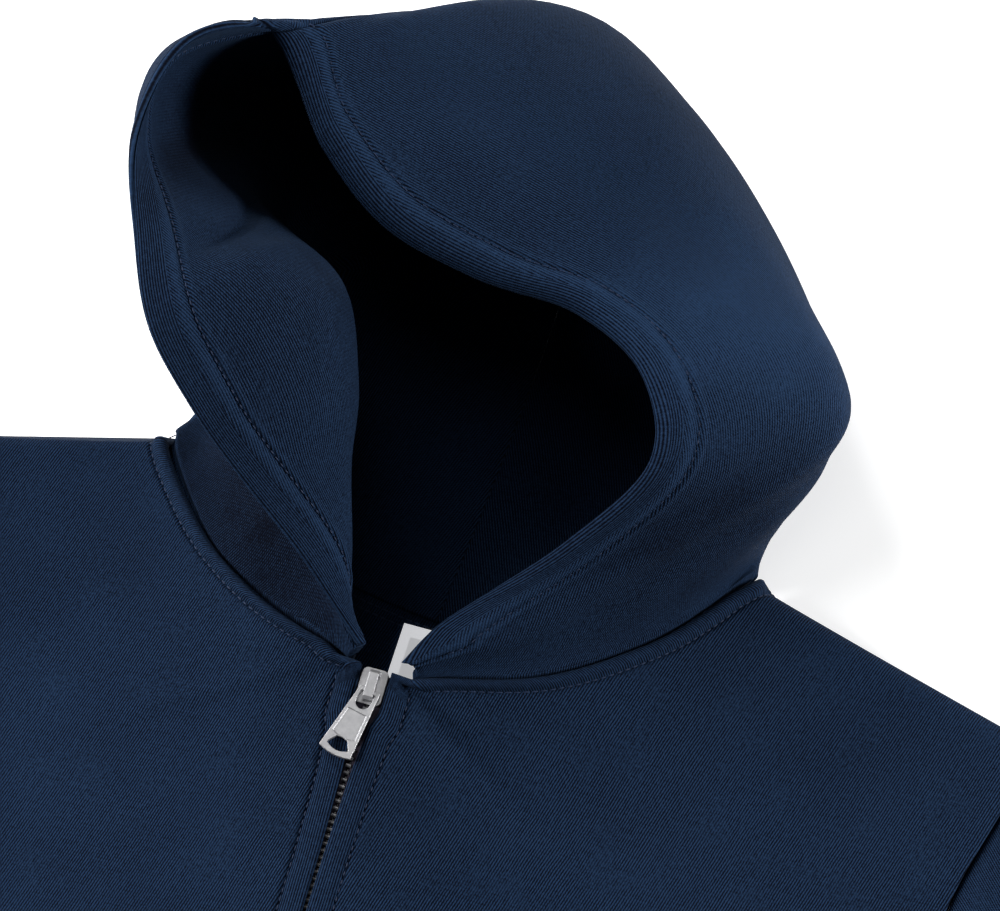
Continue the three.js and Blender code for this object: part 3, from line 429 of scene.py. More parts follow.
def hood_half(side, start, end, seed):
    """One half of the hood, and what its stitches and its flat size are read from."""
    crown, step = (end, -CROWN_GAP) if side == "left" else (start, CROWN_GAP)
    near_crown = crown + step * np.array([1.5, 3, 6, 10, 16, 26])
    at = np.unique(np.concatenate([np.linspace(start, end, 150), near_crown]))

    def stops_of(total):
        hem = min(HEM_BAND, 0.4 * total)
        return np.concatenate([
            HEM_SHARES * hem, np.linspace(HEM_SHARES[-1] * hem, total, 52)[1:-3],
            total - np.array([2.2, 1.2, 0.5, 0.15, 0]) * min(1, total / 20)])

    grid, along = hood_middle(at, stops_of)
    ahead, behind = (hood_middle(at + shift, stops_of)[0] for shift in (0.08, -0.08))
    normal = unit(np.cross(ahead - behind, np.gradient(grid, axis=1)))
    grid, normal, along, curled = with_curl(grid, normal, along, at)
    along = along + curled
    total = along[:, -1:]
    down = along / total
    band = np.minimum(HEM_BAND, 0.4 * total)
    past = along - band
    from_top = np.linalg.norm(grid - grid[-1 if side == "left" else 0], axis=2)

    # the hem's ridges and gathers, the seam over the head and the folds
    gather = puckers(lengths_along(grid[:, 0])[:, None] + 0.3 * along, seed)
    rise = np.interp(along / band, *HEM_RISE) + 0.20 * gather * bell(past, 0, 5.5)
    rise = rise * (0.3 + 0.7 * np.clip(from_top / 14, 0, 1))
    seam_roll = 0.7 * np.clip(along / band - 0.6, 0, 1) * bell(from_top, 2.6, 1.8)
    seam_roll = seam_roll * np.clip(from_top / 0.8, 0, 1)
    folds = hood_patches(at, down, HOOD_FOLDS) * np.clip(past / 12, 0, 1)

    edge = rolled(along, 2.1) * (0.25 + 0.75 * rolled(from_top, 1.3))
    edge = edge * (0.3 + 0.7 * rolled(total - along, 1.2))
    thick = HALF_SEAM + CLOTH * np.where(past < 0, 0.62, 1.0)  # the hem is pressed thinner than what follows
    folds = folds * np.minimum(edge, 1)
    out = (thick + 0.75 * rise) * edge + folds + seam_roll
    inn = (thick + 0.55 * rise) * edge - folds
    outside, inside = grid + normal * out[..., None], grid - normal * inn[..., None]
    allowance = 2.4 * np.clip((grid[:, -1, 2] - 8) / 4, 0, 1)  # turns down at the neck, inside the fronts
    for face, lowest in ((outside, 0.05), (inside, 4.0)):
        face[:, -1, 2] -= allowance
        face[..., 2] = np.maximum(face[..., 2], lowest)

    cut = flat_pattern(grid)
    piece = cloth(f"hood_{side}", outside, inside, cut)
    mark(piece, "hem_band", along < band * 0.62)
    mark(piece, "from_hem", along * MM)
    # the hem ridges' pressed nap with a painted highlight, and patches of painted light and shade
    ridge, bulge = (bell(along / band, place, wide) for place, wide in RIDGE_WEAR_AND_HIGHLIGHT)
    nap = 0.30 * (ridge + 0.5 * bulge) + hood_patches(at, down, HOOD_PAINTED_LIGHT)
    # painted shade on the left half's outer face, between the hem and the neck
    painted_shade = hood_patches(at, down, UNDER_HEM_SHADE) if side == "left" else 0 * nap
    mark(piece, "wear_and_painted_light", nap + painted_shade, nap)
    return piece, grid, normal, along, band, np.ptp(cut.reshape(-1, 2), axis=0)


hoods = {}
HOOD_HALVES = (  # side, first and last section, seed, slant of the wales
    ("left", 0.14, TOP_SECTION - CROWN_GAP, 3, 127),
    ("right", TOP_SECTION + CROWN_GAP, 17.985, 8, 48),
)
for side, start, end, seed, slant in HOOD_HALVES:
    piece, grid, normal, along, band, size = hood_half(side, start, end, seed)
    hoods[side] = grid, normal, along, band
    patches = np.linalg.norm(np.cross(np.diff(grid, axis=0)[:, 1:], np.diff(grid, axis=1)[1:]), axis=2)
    sewn_in(piece, knit(f"hood knit, {side} half", slant, with_hem=True), "knit",
            (f"hood_outer_{side}", f"hood_lining_{side}"),
            flat=(float(size[0]) * MM, float(size[1]) * MM), held="gathered", rests_on=["back_panel"],
            area=float(min(patches.sum() * MM**2, 0.98 * size[0] * size[1] * MM**2)))


# Fronts. Two panels of the same knit, sewn to the hood at the neck under a rolled, twice topstitched ridge,
# turned under beside the zip as a topstitched placket, and folded over to the back at the shoulder and the
# side.
LAY = CLOTH + SEAM
LOFT = 7.4
ZIP_X, ZIP_TOP_Y = -10.0, -78.0
ZIP_LINE = np.array([  # y, height, half gap
    (-706, 9, .5), (-642, 9, .5), (-320, 9.6, .5), (-230, 13.5, .5), (-165, 20, .5), (-143, 24, .7),
    (-114, 30, 1.6), (-98, 33.6, 3), (-92.5, 34.8, 5.1), (-78, 38, 5.3)])
NECK_POINT = (111.0, 3.0)
HEM_Y, HEM_HALF = -642.0, 264.0
ARMHOLE = np.array(
    [(219, -27), (211, -57), (202, -96), (200, -137), (209, -180), (235, -224), (270, -266)], float)
NECK_REACH, UNDERARM, ZIP_START, NECK_SHARE = 60.0, 0.42, 0.3, 0.9
BODY_SLANT = 74  # of the wales, in degrees
FOLD, FOLD_END = 9.0, LAY + 0.7  # how far in a fold rounds off, and the height that it ends at
FRONT_FOLDS = [  # x, y, half length, half width, turn in degrees, rise
    (14, -92, 16, 6, -8, -2.2), (-34, -98, 22, 9, 60, -1.6), (60, -120, 60, 16, -24, 1.2),
    (-78, -110, 50, 15, 30, 1), (120, -240, 90, 18, -62, .9), (-130, -260, 90, 20, 58, .9),
    (90, -420, 110, 22, -80, .8), (-105, -450, 120, 20, 84, .8), (185, -520, 80, 18, -70, .7),
    (-190, -540, 80, 18, 72, .7),
]

zip_top = lambda y: np.interp(y, ZIP_LINE[:, 0], ZIP_LINE[:, 1])
zip_gap = lambda y: np.interp(y, ZIP_LINE[:, 0], ZIP_LINE[:, 2])
sloping_from = lambda height, d: LOFT + (height - LOFT) * np.exp(-((d / NECK_REACH) ** 1.3))


def soft_folds(x, y, table):
    """A sum of soft folds over a flat piece, each at a place of its own."""
    total = np.zeros(np.shape(x))
    for cx, cy, long, wide, turn, rise in table:
        c, s = math.cos(math.radians(turn)), math.sin(math.radians(turn))
        along, across = ((x - cx) * c + (y - cy) * s) / long, (-(x - cx) * s + (y - cy) * c) / wide
        total += rise * np.exp(-(along**2) - across**2)
    return total


def neck_seam(side, share):
    """The front's neck edge, just outside the hood's wall."""
    first = NECK_END["right" if side > 0 else "left"]
    at = first + (len(HOOD) - 1 - first) * share if side > 0 else first * (1 - share)
    now, ahead, behind = hood_sections(at)[0], hood_sections(at + 0.01)[0], hood_sections(at - 0.01)[0]
    step = ahead[3] - behind[3]
    away = np.array([-step[1], step[0], 0.0])
    away /= np.linalg.norm(away)
    arrive = (now[3] - now[2]) / np.linalg.norm(now[3] - now[2])
    return now[3] + away * (0.5 + (CLOTH + HALF_SEAM) * abs(arrive[2]))


def inner_edge(side, a):
    """The front's edge along the neck and then down the zip, for a share of its length."""
    corner = np.array([ZIP_X + side * zip_gap(ZIP_TOP_Y), ZIP_TOP_Y, zip_top(ZIP_TOP_Y) - CLOTH / 2])
    if a <= ZIP_START:
        share = a / ZIP_START
        if share == 0:
            return np.array([side * NECK_POINT[0], NECK_POINT[1], hood_sections(NECK_END["right"])[0][3][2]])
        if share <= NECK_SHARE:
            return neck_seam(side, share / NECK_SHARE)
        f = (share - NECK_SHARE) / (1 - NECK_SHARE)
        return neck_seam(side, 1) * (1 - f) + corner * f
    y = ZIP_TOP_Y + (HEM_Y - ZIP_TOP_Y) * (a - ZIP_START) / (1 - ZIP_START)
    return np.array([ZIP_X + side * zip_gap(y), y, zip_top(y) - CLOTH / 2])


def outer_edge(side, a):
    """The front's edge down the armhole and then the side, for the same share."""
    if a <= UNDERARM:
        p = through(ARMHOLE, a / UNDERARM * (len(ARMHOLE) - 1))[0]
    else:
        f = (a - UNDERARM) / (1 - UNDERARM)
        p = ARMHOLE[-1] * (1 - f) + np.array([HEM_HALF, HEM_Y]) * f
    return np.array([side * p[0], p[1], 0.0])


def beside_line(points, a, b):
    """Distance in plan from points to a straight line between two ends."""
    p, a, b = points[..., :2], np.asarray(a, float)[:2], np.asarray(b, float)[:2]
    t = np.clip(((p - a) @ (b - a)) / ((b - a) @ (b - a)), 0, 1)
    return np.linalg.norm(p - a - t[..., None] * (b - a), axis=-1)


NECK_LINE, PLACKET_LINE = 6.6, 9.4  # from the edge to the topstitched line
NECK_PROFILE = ((0, 0.6, 1.6, 3.2, 4.8, 5.9, 6.6, 7.3, 8.4, 10.5, 16),
                (0.1, 1.2, 2.1, 2.6, 2.1, 0.6, -0.75, 0.10, 0.45, 0.25, 0))
PLACKET_PROFILE = ((0, 0.7, 1.8, 4.0, 6.5, 8.0, 8.9, 9.4, 10.0, 11.2, 14, 20),
                   (0.0, 0.55, 0.95, 1.05, 0.90, 0.40, -0.40, -0.95, -0.35, 0.35, 0.15, 0))


def front(side, name, seed):
    """One front, and what its stitches are placed from."""
    shares = np.unique(np.concatenate([
        np.linspace(0, ZIP_START * NECK_SHARE, 84), np.linspace(ZIP_START * NECK_SHARE, ZIP_START, 10),
        np.linspace(ZIP_START, 0.44, 46), np.linspace(0.44, 1, 70), 1 - np.array([.0006, .002, .004]),
        np.array([.0012, .004, .008])]))
    columns = [[] for _ in range(5)]
    shoulder = ((side * NECK_POINT[0], NECK_POINT[1]), outer_edge(side, 0))
    side_seam = (outer_edge(side, UNDERARM), outer_edge(side, 1))
    near = np.array([0, .12, .35, .7, 1.2, 1.9, 2.8, 3.8, 4.8, 5.6, 6.2, 6.7, 7.2, 7.8, 8.4, 8.9, 9.3, 9.7,
                     10.2, 10.9, 12, 13.5, 15.5, 18, 21.5, 26])
    length_down, last = 0.0, inner_edge(side, 0)
    for a in shares:
        start, finish = inner_edge(side, a), outer_edge(side, a)
        reach = np.linalg.norm((finish - start)[:2])
        d = np.concatenate([near, np.linspace(26, reach - 26, 24)[1:],
                            reach - np.array([20, 15, 11, 8, 5.5, 3.6, 2.2, 1.2, .5, .15, 0])])
        length_down += np.linalg.norm(start - last)
        last = start
        p = start + (finish - start) * (d / reach)[:, None]
        to_fold = np.minimum(beside_line(p, *shoulder), beside_line(p, *side_seam))
        height = sloping_from(start[2] + CLOTH / 2, d)
        height = height + soft_folds(p[:, 0], p[:, 1], FRONT_FOLDS) * (1 - np.exp(-d / 9))
        p[:, 2] = FOLD_END + (height - FOLD_END) * rolled(to_fold, FOLD)
        blend = np.clip((a - ZIP_START * 0.985) / (ZIP_START * 0.03), 0, 1)
        profile = (1 - blend) * np.interp(d, *NECK_PROFILE) + blend * np.interp(d, *PLACKET_PROFILE)
        line = NECK_LINE + (PLACKET_LINE - NECK_LINE) * blend
        profile = profile + 0.22 * puckers(length_down + 0.4 * d, seed) * bell(d, line, 4)
        profile += 0.5 * bell(reach - d, 4, 2.4) * (a < UNDERARM)
        row = (p, profile * np.minimum(1, to_fold / 4), d, d < line, length_down * (1 - blend) + d * blend)
        for column, values in zip(columns, row):
            column.append(values)
    grid, rise, from_edge, strip, across_strip = (np.array(column)[::side] for column in columns)
    normal = unit(np.cross(np.gradient(grid, axis=0), np.gradient(grid, axis=1)))
    normal *= np.sign(normal[..., 2:3].mean())
    edge = rolled(from_edge, 1.2)
    outside = grid + normal * ((rise + CLOTH / 2) * edge - CLOTH / 2)[..., None]
    inside = grid - normal * (CLOTH / 2 * edge + CLOTH / 2)[..., None]
    inside[..., 2] = np.maximum(inside[..., 2], LAY - 0.2)
    outside[..., 2] = np.maximum(outside[..., 2], inside[..., 2] + 0.1)
    piece = cloth(f"knit_{name}", outside, inside, grid[..., :2])
    mark(piece, "hem_band", strip)
    mark(piece, "from_hem", across_strip * MM)
    mark(piece, "wear_and_painted_light", 0 * across_strip)
    sewn_in(piece, knit(f"{name.replace('_', ' ')} knit", BODY_SLANT, with_hem=True), "knit", (name,),
            flat=(0.29, 0.70), held="laid", rests_on=["back_panel"], area=0.172)
    return grid, normal, from_edge


fronts = [front(1, "front_right", 21), front(-1, "front_left", 34)]


# Back, sleeves, cuffs and waistband. The back is one flat panel on the table. Each sleeve is a flattened tube
# set into the armhole, and the cuffs and the waistband are ribbed tubes sewn to the sleeves and the body.
SLEEVE_END = np.array([(643.0, -451.0), (568.0, -526.0)])  # its outer and its inner corner
SLEEVE_BEND = np.array([(376.0, -71.0), (330.0, -345.0)])
CUFF_LENGTH, CUFF_GATHER, CUFF_TAPER, WAISTBAND_LENGTH, RIB_PITCH = 64.0, 0.95, 0.86, 63.0, 3.0
SLEEVE_FOLDS = [  # along the sleeve, across it, half length, half width, turn, rise
    (40, -60, 50, 12, 20, -.8), (60, 30, 60, 14, -25, .9), (150, 20, 40, 12, 60, -.9),
    (190, 55, 36, 10, 70, .8), (230, 62, 34, 9, 80, -.9), (300, -20, 90, 16, 8, .8),
    (420, 10, 70, 12, -14, -.8), (505, -15, 40, 9, 6, .8),
]
body_knit = knit("body knit", BODY_SLANT)


def tube(name, middles, heights, cut, material, slot, **sheet):
    """A flattened tube of cloth, from rows of points in plan and the height of its upper side."""
    upper = np.dstack([middles, heights])
    lower = np.dstack([middles, np.zeros_like(heights)])[:, ::-1]
    centre = (middles[:, :1] + middles[:, -1:]) / 2
    pulled = middles.copy()
    pulled[:, [0, -1]] += (centre - middles[:, [0, -1]]) * 0.012  # keeps the inner face inside the folds
    upper_in = np.dstack([pulled, np.maximum(heights - CLOTH, LAY)])
    lower_in = np.dstack([pulled, np.full_like(heights, CLOTH)])[:, ::-1]
    both = np.concatenate([cut, cut[:, ::-1] + np.array([1200.0, 0.0])], 1)
    outside, inside = np.concatenate([upper, lower], 1), np.concatenate([upper_in, lower_in], 1)
    piece = cloth(f"{slot}_{name}", outside, inside, both, ring=True)
    sewn_in(piece, material, slot, (name,), held="laid", **sheet)


def sleeve(side, name):
    """A sleeve, bent like an arm at rest, with the armhole's curve fading down it."""
    q = np.concatenate([[0, .002, .006, .014, .026, .042, .065], np.linspace(.09, .91, 44),
                        1 - np.array([.065, .042, .026, .014, .006, .002, 0])])
    chord = through(ARMHOLE, q * (len(ARMHOLE) - 1))
    s = np.linspace(0, 1, 90)[:, None]
    outer, inner = ((1 - s) ** 2 * ARMHOLE[k] + 2 * s * (1 - s) * SLEEVE_BEND[k] + s**2 * SLEEVE_END[k]
                    for k in (0, -1))
    width = np.linalg.norm(inner - outer, axis=1, keepdims=True)
    bulge = chord - (ARMHOLE[0] * (1 - q[:, None]) + ARMHOLE[-1] * q[:, None])
    plan = outer[:, None] * (1 - q[None, :, None]) + inner[:, None] * q[None, :, None]
    plan = plan + bulge[None] * ((1 - s) ** 2)[:, :, None]
    plan[..., 0] += 0.6 * (1 - s)
    to_fold = np.minimum(q, 1 - q)[None] * width
    height = FOLD_END + (LOFT - FOLD_END) * rolled(to_fold, FOLD)
    down, across = np.broadcast_arrays(s * 560, (q[None] - 0.5) * width)
    folds = soft_folds(down, across, SLEEVE_FOLDS)
    height = height + folds * np.clip(to_fold / 14, 0, 1) * np.clip(down / 8, 0, 1)
    ridge = 0.45 * bell(down, 2.6, 1.8) - 0.25 * bell(down, 6.5, 0.8)
    height = height + ridge * np.clip(to_fold / 6, 0, 1) - 0.5 * bell(down, 0, 0.8)
    tube(name, plan * (side, 1), height, np.dstack([across, down]), body_knit, "knit",
         flat=(0.49, 0.60), rests_on=["back_panel"], area=0.18)


sleeve(1, "sleeve_right")
sleeve(-1, "sleeve_left")


def rib_profile(place, pitch):
    """Height of rounded ribs, from 0 in their grooves to 1."""
    return np.abs(np.sin(np.pi * place / pitch)) ** 0.7


ribbed = knit("rib knit", 90)


def cuff(side, name):
    """A cuff, a little narrower than the sleeve's end, and tapered."""
    a, b = SLEEVE_END
    across = b - a
    full = np.linalg.norm(across)
    along = np.array([-across[1], across[0]]) / full
    out = np.concatenate([[SEAM, SEAM + .3, SEAM + 1], np.linspace(3, CUFF_LENGTH - 3, 14),
                          CUFF_LENGTH - np.array([1.2, .4, 0])])
    q = np.linspace(0, 1, 8 * int(full / RIB_PITCH) + 1)
    scale = CUFF_GATHER + (CUFF_TAPER - CUFF_GATHER) * (out - SEAM) / (CUFF_LENGTH - SEAM)
    plan = (a + b) / 2 + along * out[:, None, None] + across * ((q[None] - 0.5) * scale[:, None])[..., None]
    width = full * scale[:, None]
    to_fold = np.minimum(q, 1 - q)[None] * width
    height = FOLD_END + (LOFT + 0.75 - FOLD_END) * rolled(to_fold, 5)
    grooves = 1.2 * (1 - rib_profile(q * full, RIB_PITCH))
    height = height - grooves[None] * np.clip(to_fold / 4, 0, 1)
    ends = np.minimum(out - SEAM, CUFF_LENGTH - out)[:, None]
    height = np.maximum(height - 1.1 * (1 - rolled(ends, 2.0)), LAY + 0.1)
    cut = np.dstack(np.broadcast_arrays((q[None] - 0.5) * width, out[:, None]))
    tube(name, plan * (side, 1), height, cut, ribbed, "rib", flat=(0.20, 0.064), rests_on=[], area=None)


cuff(1, "cuff_right")
cuff(-1, "cuff_left")


def waistband():
    """The waistband: one ribbed strip from zip end to zip end round the back, folded at both sides."""
    half = HEM_HALF - 1
    top = lambda x: LOFT + (zip_top(HEM_Y) + SEAM - LOFT) * bell(x, ZIP_X, 40)
    gap = float(zip_gap(HEM_Y))
    right = np.linspace(ZIP_X + gap, half, 8 * 91 + 1)
    left = np.linspace(-half, ZIP_X - gap, 8 * 84 + 1)
    turn = np.linspace(0.5, -0.5, 9)[1:-1] * np.pi
    under = np.linspace(half - 1, -half + 1, 60)
    h = LOFT / 2

    def around(inset, bulge, rib):
        """A face's line round the body, from zip end to zip end."""
        pair = lambda x, z: np.stack([x, z], 1)
        upper = lambda x: pair(x, top(x) + rib * rib_profile(x, RIB_PITCH) - inset)
        fold = lambda sign: pair(sign * (half + bulge * np.cos(turn)), h + (h - inset) * np.sin(turn))
        return np.concatenate([
            upper(right), fold(1), pair(under, 0 * under + inset), fold(-1)[::-1], upper(left)])

    out, inn = around(0, 3, 0.9), around(2, 1.2, 0)
    depth = np.concatenate([[0, .3, 1, 2.2], np.linspace(5, WAISTBAND_LENGTH - 5, 10),
                            WAISTBAND_LENGTH - np.array([2.2, 1, .3, 0])])
    y = HEM_Y - SEAM - depth
    ends = rolled(np.minimum(depth, WAISTBAND_LENGTH - depth), 2.0)[:, None]
    middle = (out + inn) / 2
    put = lambda line: np.dstack(np.broadcast_arrays(line[None, :, 0], y[:, None], line[None, :, 1]))
    outside, centre, inside = put(out), put(middle), put(inn)
    share = (0.35 + 0.65 * ends)[..., None]
    outside, inside = centre + (outside - centre) * share, centre + (inside - centre) * share
    outside[..., 2] = np.maximum(outside[..., 2], 0)
    cut = np.dstack(np.broadcast_arrays(out[None, :, 0], depth[:, None]))
    sewn_in(cloth("rib_waistband", outside, inside, cut), ribbed, "rib", ("waistband",),
            flat=(1.06, 0.063), held="laid")


waistband()


def along_line(points, count):
    """Points at even distances along a line."""
    lengths = lengths_along(points)
    return np.stack([np.interp(np.linspace(0, lengths[-1], count), lengths, points[:, k]) for k in (0, 1)], 1)


NECK_TUCK = 1.6  # how far the back runs under the hood's lower edge
NECK_TAPE = 9.0  # depth of the covered seam below that edge


def back():
    """The flat back, blended between its neck and shoulders, its two sides and its lower edge."""
    places = np.linspace(NECK_END["left"] + 1, NECK_END["right"] - 1, 60)
    neck = np.array([hood_sections(at)[0][3][:2] + (0, NECK_TUCK) for at in places])
    right = np.concatenate([through(ARMHOLE, np.linspace(0, len(ARMHOLE) - 1, 60)), [(HEM_HALF, HEM_Y)]])
    left = right * (-1, 1)
    point = np.array(NECK_POINT)
    top = np.concatenate([[left[0], point * (-1, 1)], neck, [point, right[0]]])
    s = np.linspace(0, 1, 181)[None, :, None]
    v = np.concatenate([[0], np.cumsum(np.concatenate([np.full(30, 0.8), np.linspace(1, 16, 70)]))])
    v = (v / v[-1])[:, None, None]
    fine = lambda line: np.stack([np.interp(v[:, 0, 0], np.linspace(0, 1, 600), along_line(line, 600)[:, k])
                                  for k in (0, 1)], 1)[:, None]
    across_top, down_left, down_right = along_line(top, 181)[None], fine(left), fine(right)
    across_foot = left[-1] + (right[-1] - left[-1]) * s
    corners = ((1 - s) * (1 - v) * left[0] + s * (1 - v) * right[0]
               + (1 - s) * v * left[-1] + s * v * right[-1])
    plan = (1 - v) * across_top + v * across_foot + (1 - s) * down_left + s * down_right - corners
    below = np.linalg.norm(plan - plan[:1], axis=2)
    inside_neck = np.clip((100 - np.abs(plan[..., 0])) / 12, 0, 1)
    tape = inside_neck * np.interp(below, (0, 1.5, 2.5, NECK_TAPE - 1, NECK_TAPE, NECK_TAPE + 1),
                                   (0, 0, .5, .5, .2, 0))
    upper = np.dstack([plan, CLOTH + tape - 0.9 * np.clip(1 - below / 2, 0, 1)])
    lower = np.dstack([plan, np.zeros(plan.shape[:2])])
    return cloth("knit_back", upper, lower, plan), upper


back_piece, back_top = back()
sewn_in(back_piece, body_knit, "knit", ("back_panel",), flat=(0.54, 0.645), held="laid", area=0.325)


# Stitching. Every topstitched line is a row of short polyester stitches in the cloth's own navy, sunk a
# little into the cloth. One tree lays them along any path.
def tree_with(name, **inputs):
    """A geometry tree with named inputs: its tree, and a wire for each input."""
    tree = bpy.data.node_groups.new(name, "GeometryNodeTree")
    for title, kind in inputs.items():
        tree.interface.new_socket(title, in_out="INPUT", socket_type=f"NodeSocket{kind}")
    tree.interface.new_socket("Geometry", in_out="OUTPUT", socket_type="NodeSocketGeometry")
    start = tree.nodes.new("NodeGroupInput")
    return tree, {title: Wire(tree, start.outputs[title]) for title in inputs}


def ends_in(tree, geometry, material):
    """Closes a tree: its shapes are made real and get their material."""
    solid = geometry.node("GeometryNodeRealizeInstances", {0: geometry})
    done = geometry.node("GeometryNodeSetMaterial", {0: solid, "Material": material})
    end = tree.nodes.new("NodeGroupOutput")
    tree.links.new(done.socket, end.inputs[0])


def made_by(name, mesh, tree, values):
    """The plain mesh that a tree makes of a mesh, as a new piece at the origin."""
    source = in_scene(name + "_path", mesh)
    modifier = source.modifiers.new("tree", "NODES")
    modifier.node_group = tree
    for socket in tree.interface.items_tree:
        if socket.in_out == "INPUT" and socket.name in values:
            modifier[socket.identifier] = values[socket.name]
    bpy.context.view_layer.update()
    result = bpy.data.meshes.new_from_object(source.evaluated_get(bpy.context.evaluated_depsgraph_get()))
    bpy.data.objects.remove(source)
    result.name = name
    return in_scene(name, result)


def lines_mesh(name, lines):
    """Open polylines in millimetres as one mesh of edges."""
    points, edges = [], []
    for line in lines:
        first = len(points)
        points += [tuple(p) for p in placed(line)]
        edges += [(first + k, first + k + 1) for k in range(len(line) - 1)]
    mesh = bpy.data.meshes.new(name)
    mesh.from_pydata(points, edges, [])
    return mesh


stitch_tree, s = tree_with("Stitches along a seam", Geometry="Geometry", Pitch="Float", Length="Float",
                           Thickness="Float", Thread="Material")
path = s["Geometry"].node("GeometryNodeMeshToCurve", {0: s["Geometry"]})
spots = path.node("GeometryNodeResampleCurve", {"Curve": path, "Length": s["Pitch"]}, mode="LENGTH")
bead = path.node("GeometryNodeMeshUVSphere", {"Segments": 6, "Rings": 5, "Radius": 0.5})
tangent = path.node("GeometryNodeInputTangent")
heading = path.node("FunctionNodeAlignRotationToVector", {"Vector": tangent}, axis="X")
size = path.node("ShaderNodeCombineXYZ", {0: s["Length"], 1: s["Thickness"], 2: s["Thickness"]})
stitches = path.node("GeometryNodeInstanceOnPoints",
                     {"Points": spots, "Instance": bead, "Rotation": heading, "Scale": size})
ends_in(stitch_tree, stitches, s["Thread"])

thread, wire, shader = finish_of("navy thread")
where = wire.node("ShaderNodeTexCoord", output=3)
twist = wire.node("ShaderNodeTexNoise", {"Vector": where, "Scale": 2200, "Detail": 2})
feed(shader, {"Base Color": mixed(twist, (0.003, 0.008, 0.028, 1), (0.012, 0.03, 0.08, 1)),
              "Roughness": 0.6, "Specular IOR Level": 0.3})


def line_on(grid, normal, distance, places, lift):
    """A line on a cloth's outer face, at a distance from its edge that is given for each row."""
    line = []
    for row, n, d, place in zip(grid, normal, distance, np.broadcast_to(places, len(grid))):
        order = np.argsort(d, kind="stable")
        p, q = ([np.interp(place, d[order], values[order, k]) for k in range(3)] for values in (row, n))
        line.append(np.array(p) + np.array(q) * lift)
    return np.array(line)


stitch_lines = []
for grid, normal, along, band in hoods.values():
    keep = along[:, -1] > 30  # where the hem is stitched
    for lift in (CLOTH - 0.35, -CLOTH + 0.2):
        stitch_lines.append(line_on(grid[keep], normal[keep], along[keep], band[keep, 0], lift))
for grid, normal, from_edge in fronts:
    at_neck = grid[:, 0, 1] > ZIP_TOP_Y + 1
    at_arm = grid[np.arange(len(grid)), np.argmax(from_edge, axis=1), 1] > ARMHOLE[-1][1]
    reach = from_edge.max(axis=1)
    for rows, distance, lift in ((at_neck, NECK_LINE, -0.30), (at_neck, 1.3, 1.15),
                                 (~at_neck, PLACKET_LINE, -0.45), (at_arm, reach[at_arm] - 6.2, -0.05)):
        stitch_lines.append(line_on(grid[rows], normal[rows], from_edge[rows], distance, lift))
inside_neck = np.abs(back_top[5, :, 0]) < 96
for row in (6, 10):
    stitch_lines.append(back_top[row, inside_neck] + (0, 0, 0.15))
stitching = made_by("stitching", lines_mesh("stitch lines", stitch_lines), stitch_tree,
                    {"Pitch": 0.0031, "Length": 0.0025, "Thickness": 0.00062, "Thread": thread})
stitching.data.polygons.foreach_set("use_smooth", np.ones(len(stitching.data.polygons), bool))
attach(stitching, "garment")


# Zip. Two woven tapes hold a row of nickel teeth each, the closed chain runs down to the retainer box, and
# the slider at the top carries a tapered pull tab on its bridge.
metal, wire, shader = finish_of("satin nickel")
where = wire.node("ShaderNodeTexCoord", output=3)
smudge = wire.node("ShaderNodeTexNoise", {"Vector": where, "Scale": 420, "Detail": 4, "Roughness": 0.6})
grain = wire.node("ShaderNodeTexNoise", {"Vector": where, "Scale": 3000, "Detail": 2})
feed(shader, {
    "Base Color": mixed(smudge, (0.34, 0.34, 0.36, 1), (0.60, 0.60, 0.61, 1)),
    "Roughness": 0.26 + smudge * 0.22,
    "Normal": wire.node("ShaderNodeBump", {"Height": grain, "Strength": 0.12, "Distance": 0.0001}),
    "Metallic": 0.75,
})
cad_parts["zip_box"].data.materials.clear()
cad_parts["zip_box"].data.materials.append(metal)

tape_cloth, wire, shader = finish_of("woven zip tape")
where = wire.node("ShaderNodeTexCoord", output=3)
weave = wire.node("ShaderNodeTexWave", {"Vector": where, "Scale": 900, "Distortion": 1.0, "Detail": 1},
                  output="Fac", bands_direction="Y")
feed(shader, {
    "Base Color": mixed(weave, (0.010, 0.008, 0.018, 1), (0.030, 0.020, 0.042, 1)),
    "Normal": wire.node("ShaderNodeBump", {"Height": weave, "Strength": 0.4, "Distance": 0.0002}),
    "Roughness": 0.8,
})
CHAIN_THICK, TOOTH_PITCH, ZIP_END_Y = 2.2, 2.54, -695.0
CHAIN_TOP_Y = ZIP_TOP_Y - 3.6
TAPE_EDGE, TAPE_WIDTH = 0.3, 16.0  # from the zip's middle to the tape's two edges
TOOTH_ROWS = ((0, -0.1, 0.6), (TOOTH_PITCH / 2, 0.8, -0.9))  # start down the zip, place across, height


def zip_path(first, x):
    """A line down the middle of the chain's thickness."""
    y = np.arange(first, ZIP_END_Y, -TOOTH_PITCH)
    return np.stack([np.full(len(y), x), y, zip_top(y) - LAY - CHAIN_THICK / 2], 1)


for side, name in ((1, "right"), (-1, "left")):
    d = np.concatenate([[TAPE_EDGE, 0.5, 0.9, 1.4, 2.2], np.linspace(3, 15.4, 12), [15.8, TAPE_WIDTH]])
    y = np.linspace(ZIP_TOP_Y - 1, ZIP_END_Y, 240)[:, None]
    top = zip_top(y)
    bead = 0.35 * bell(d, 0.9, 0.6)[None]
    sag = (top - LOFT) * 0.12 * np.clip(d - 3, 0, 13) / 13
    level = sloping_from(top, np.maximum(d - 3, 0)) - sag - LAY - CHAIN_THICK / 2 + 0.8 * np.clip(d / 3, 0, 1)
    half = bead + 0.4 * rolled(np.minimum(d - TAPE_EDGE, TAPE_WIDTH - d), 0.4)[None]
    put = lambda x, *z: np.dstack(np.broadcast_arrays(x[None], y, *z))
    x = ZIP_X + side * d
    piece = cloth(f"woven_tape_{name}", put(x, level + half), put(x, level - half), put(d))
    sewn_in(piece, tape_cloth, "tape", (f"zip_tape_{name}",), flat=(0.0157, 0.62), held="laid")

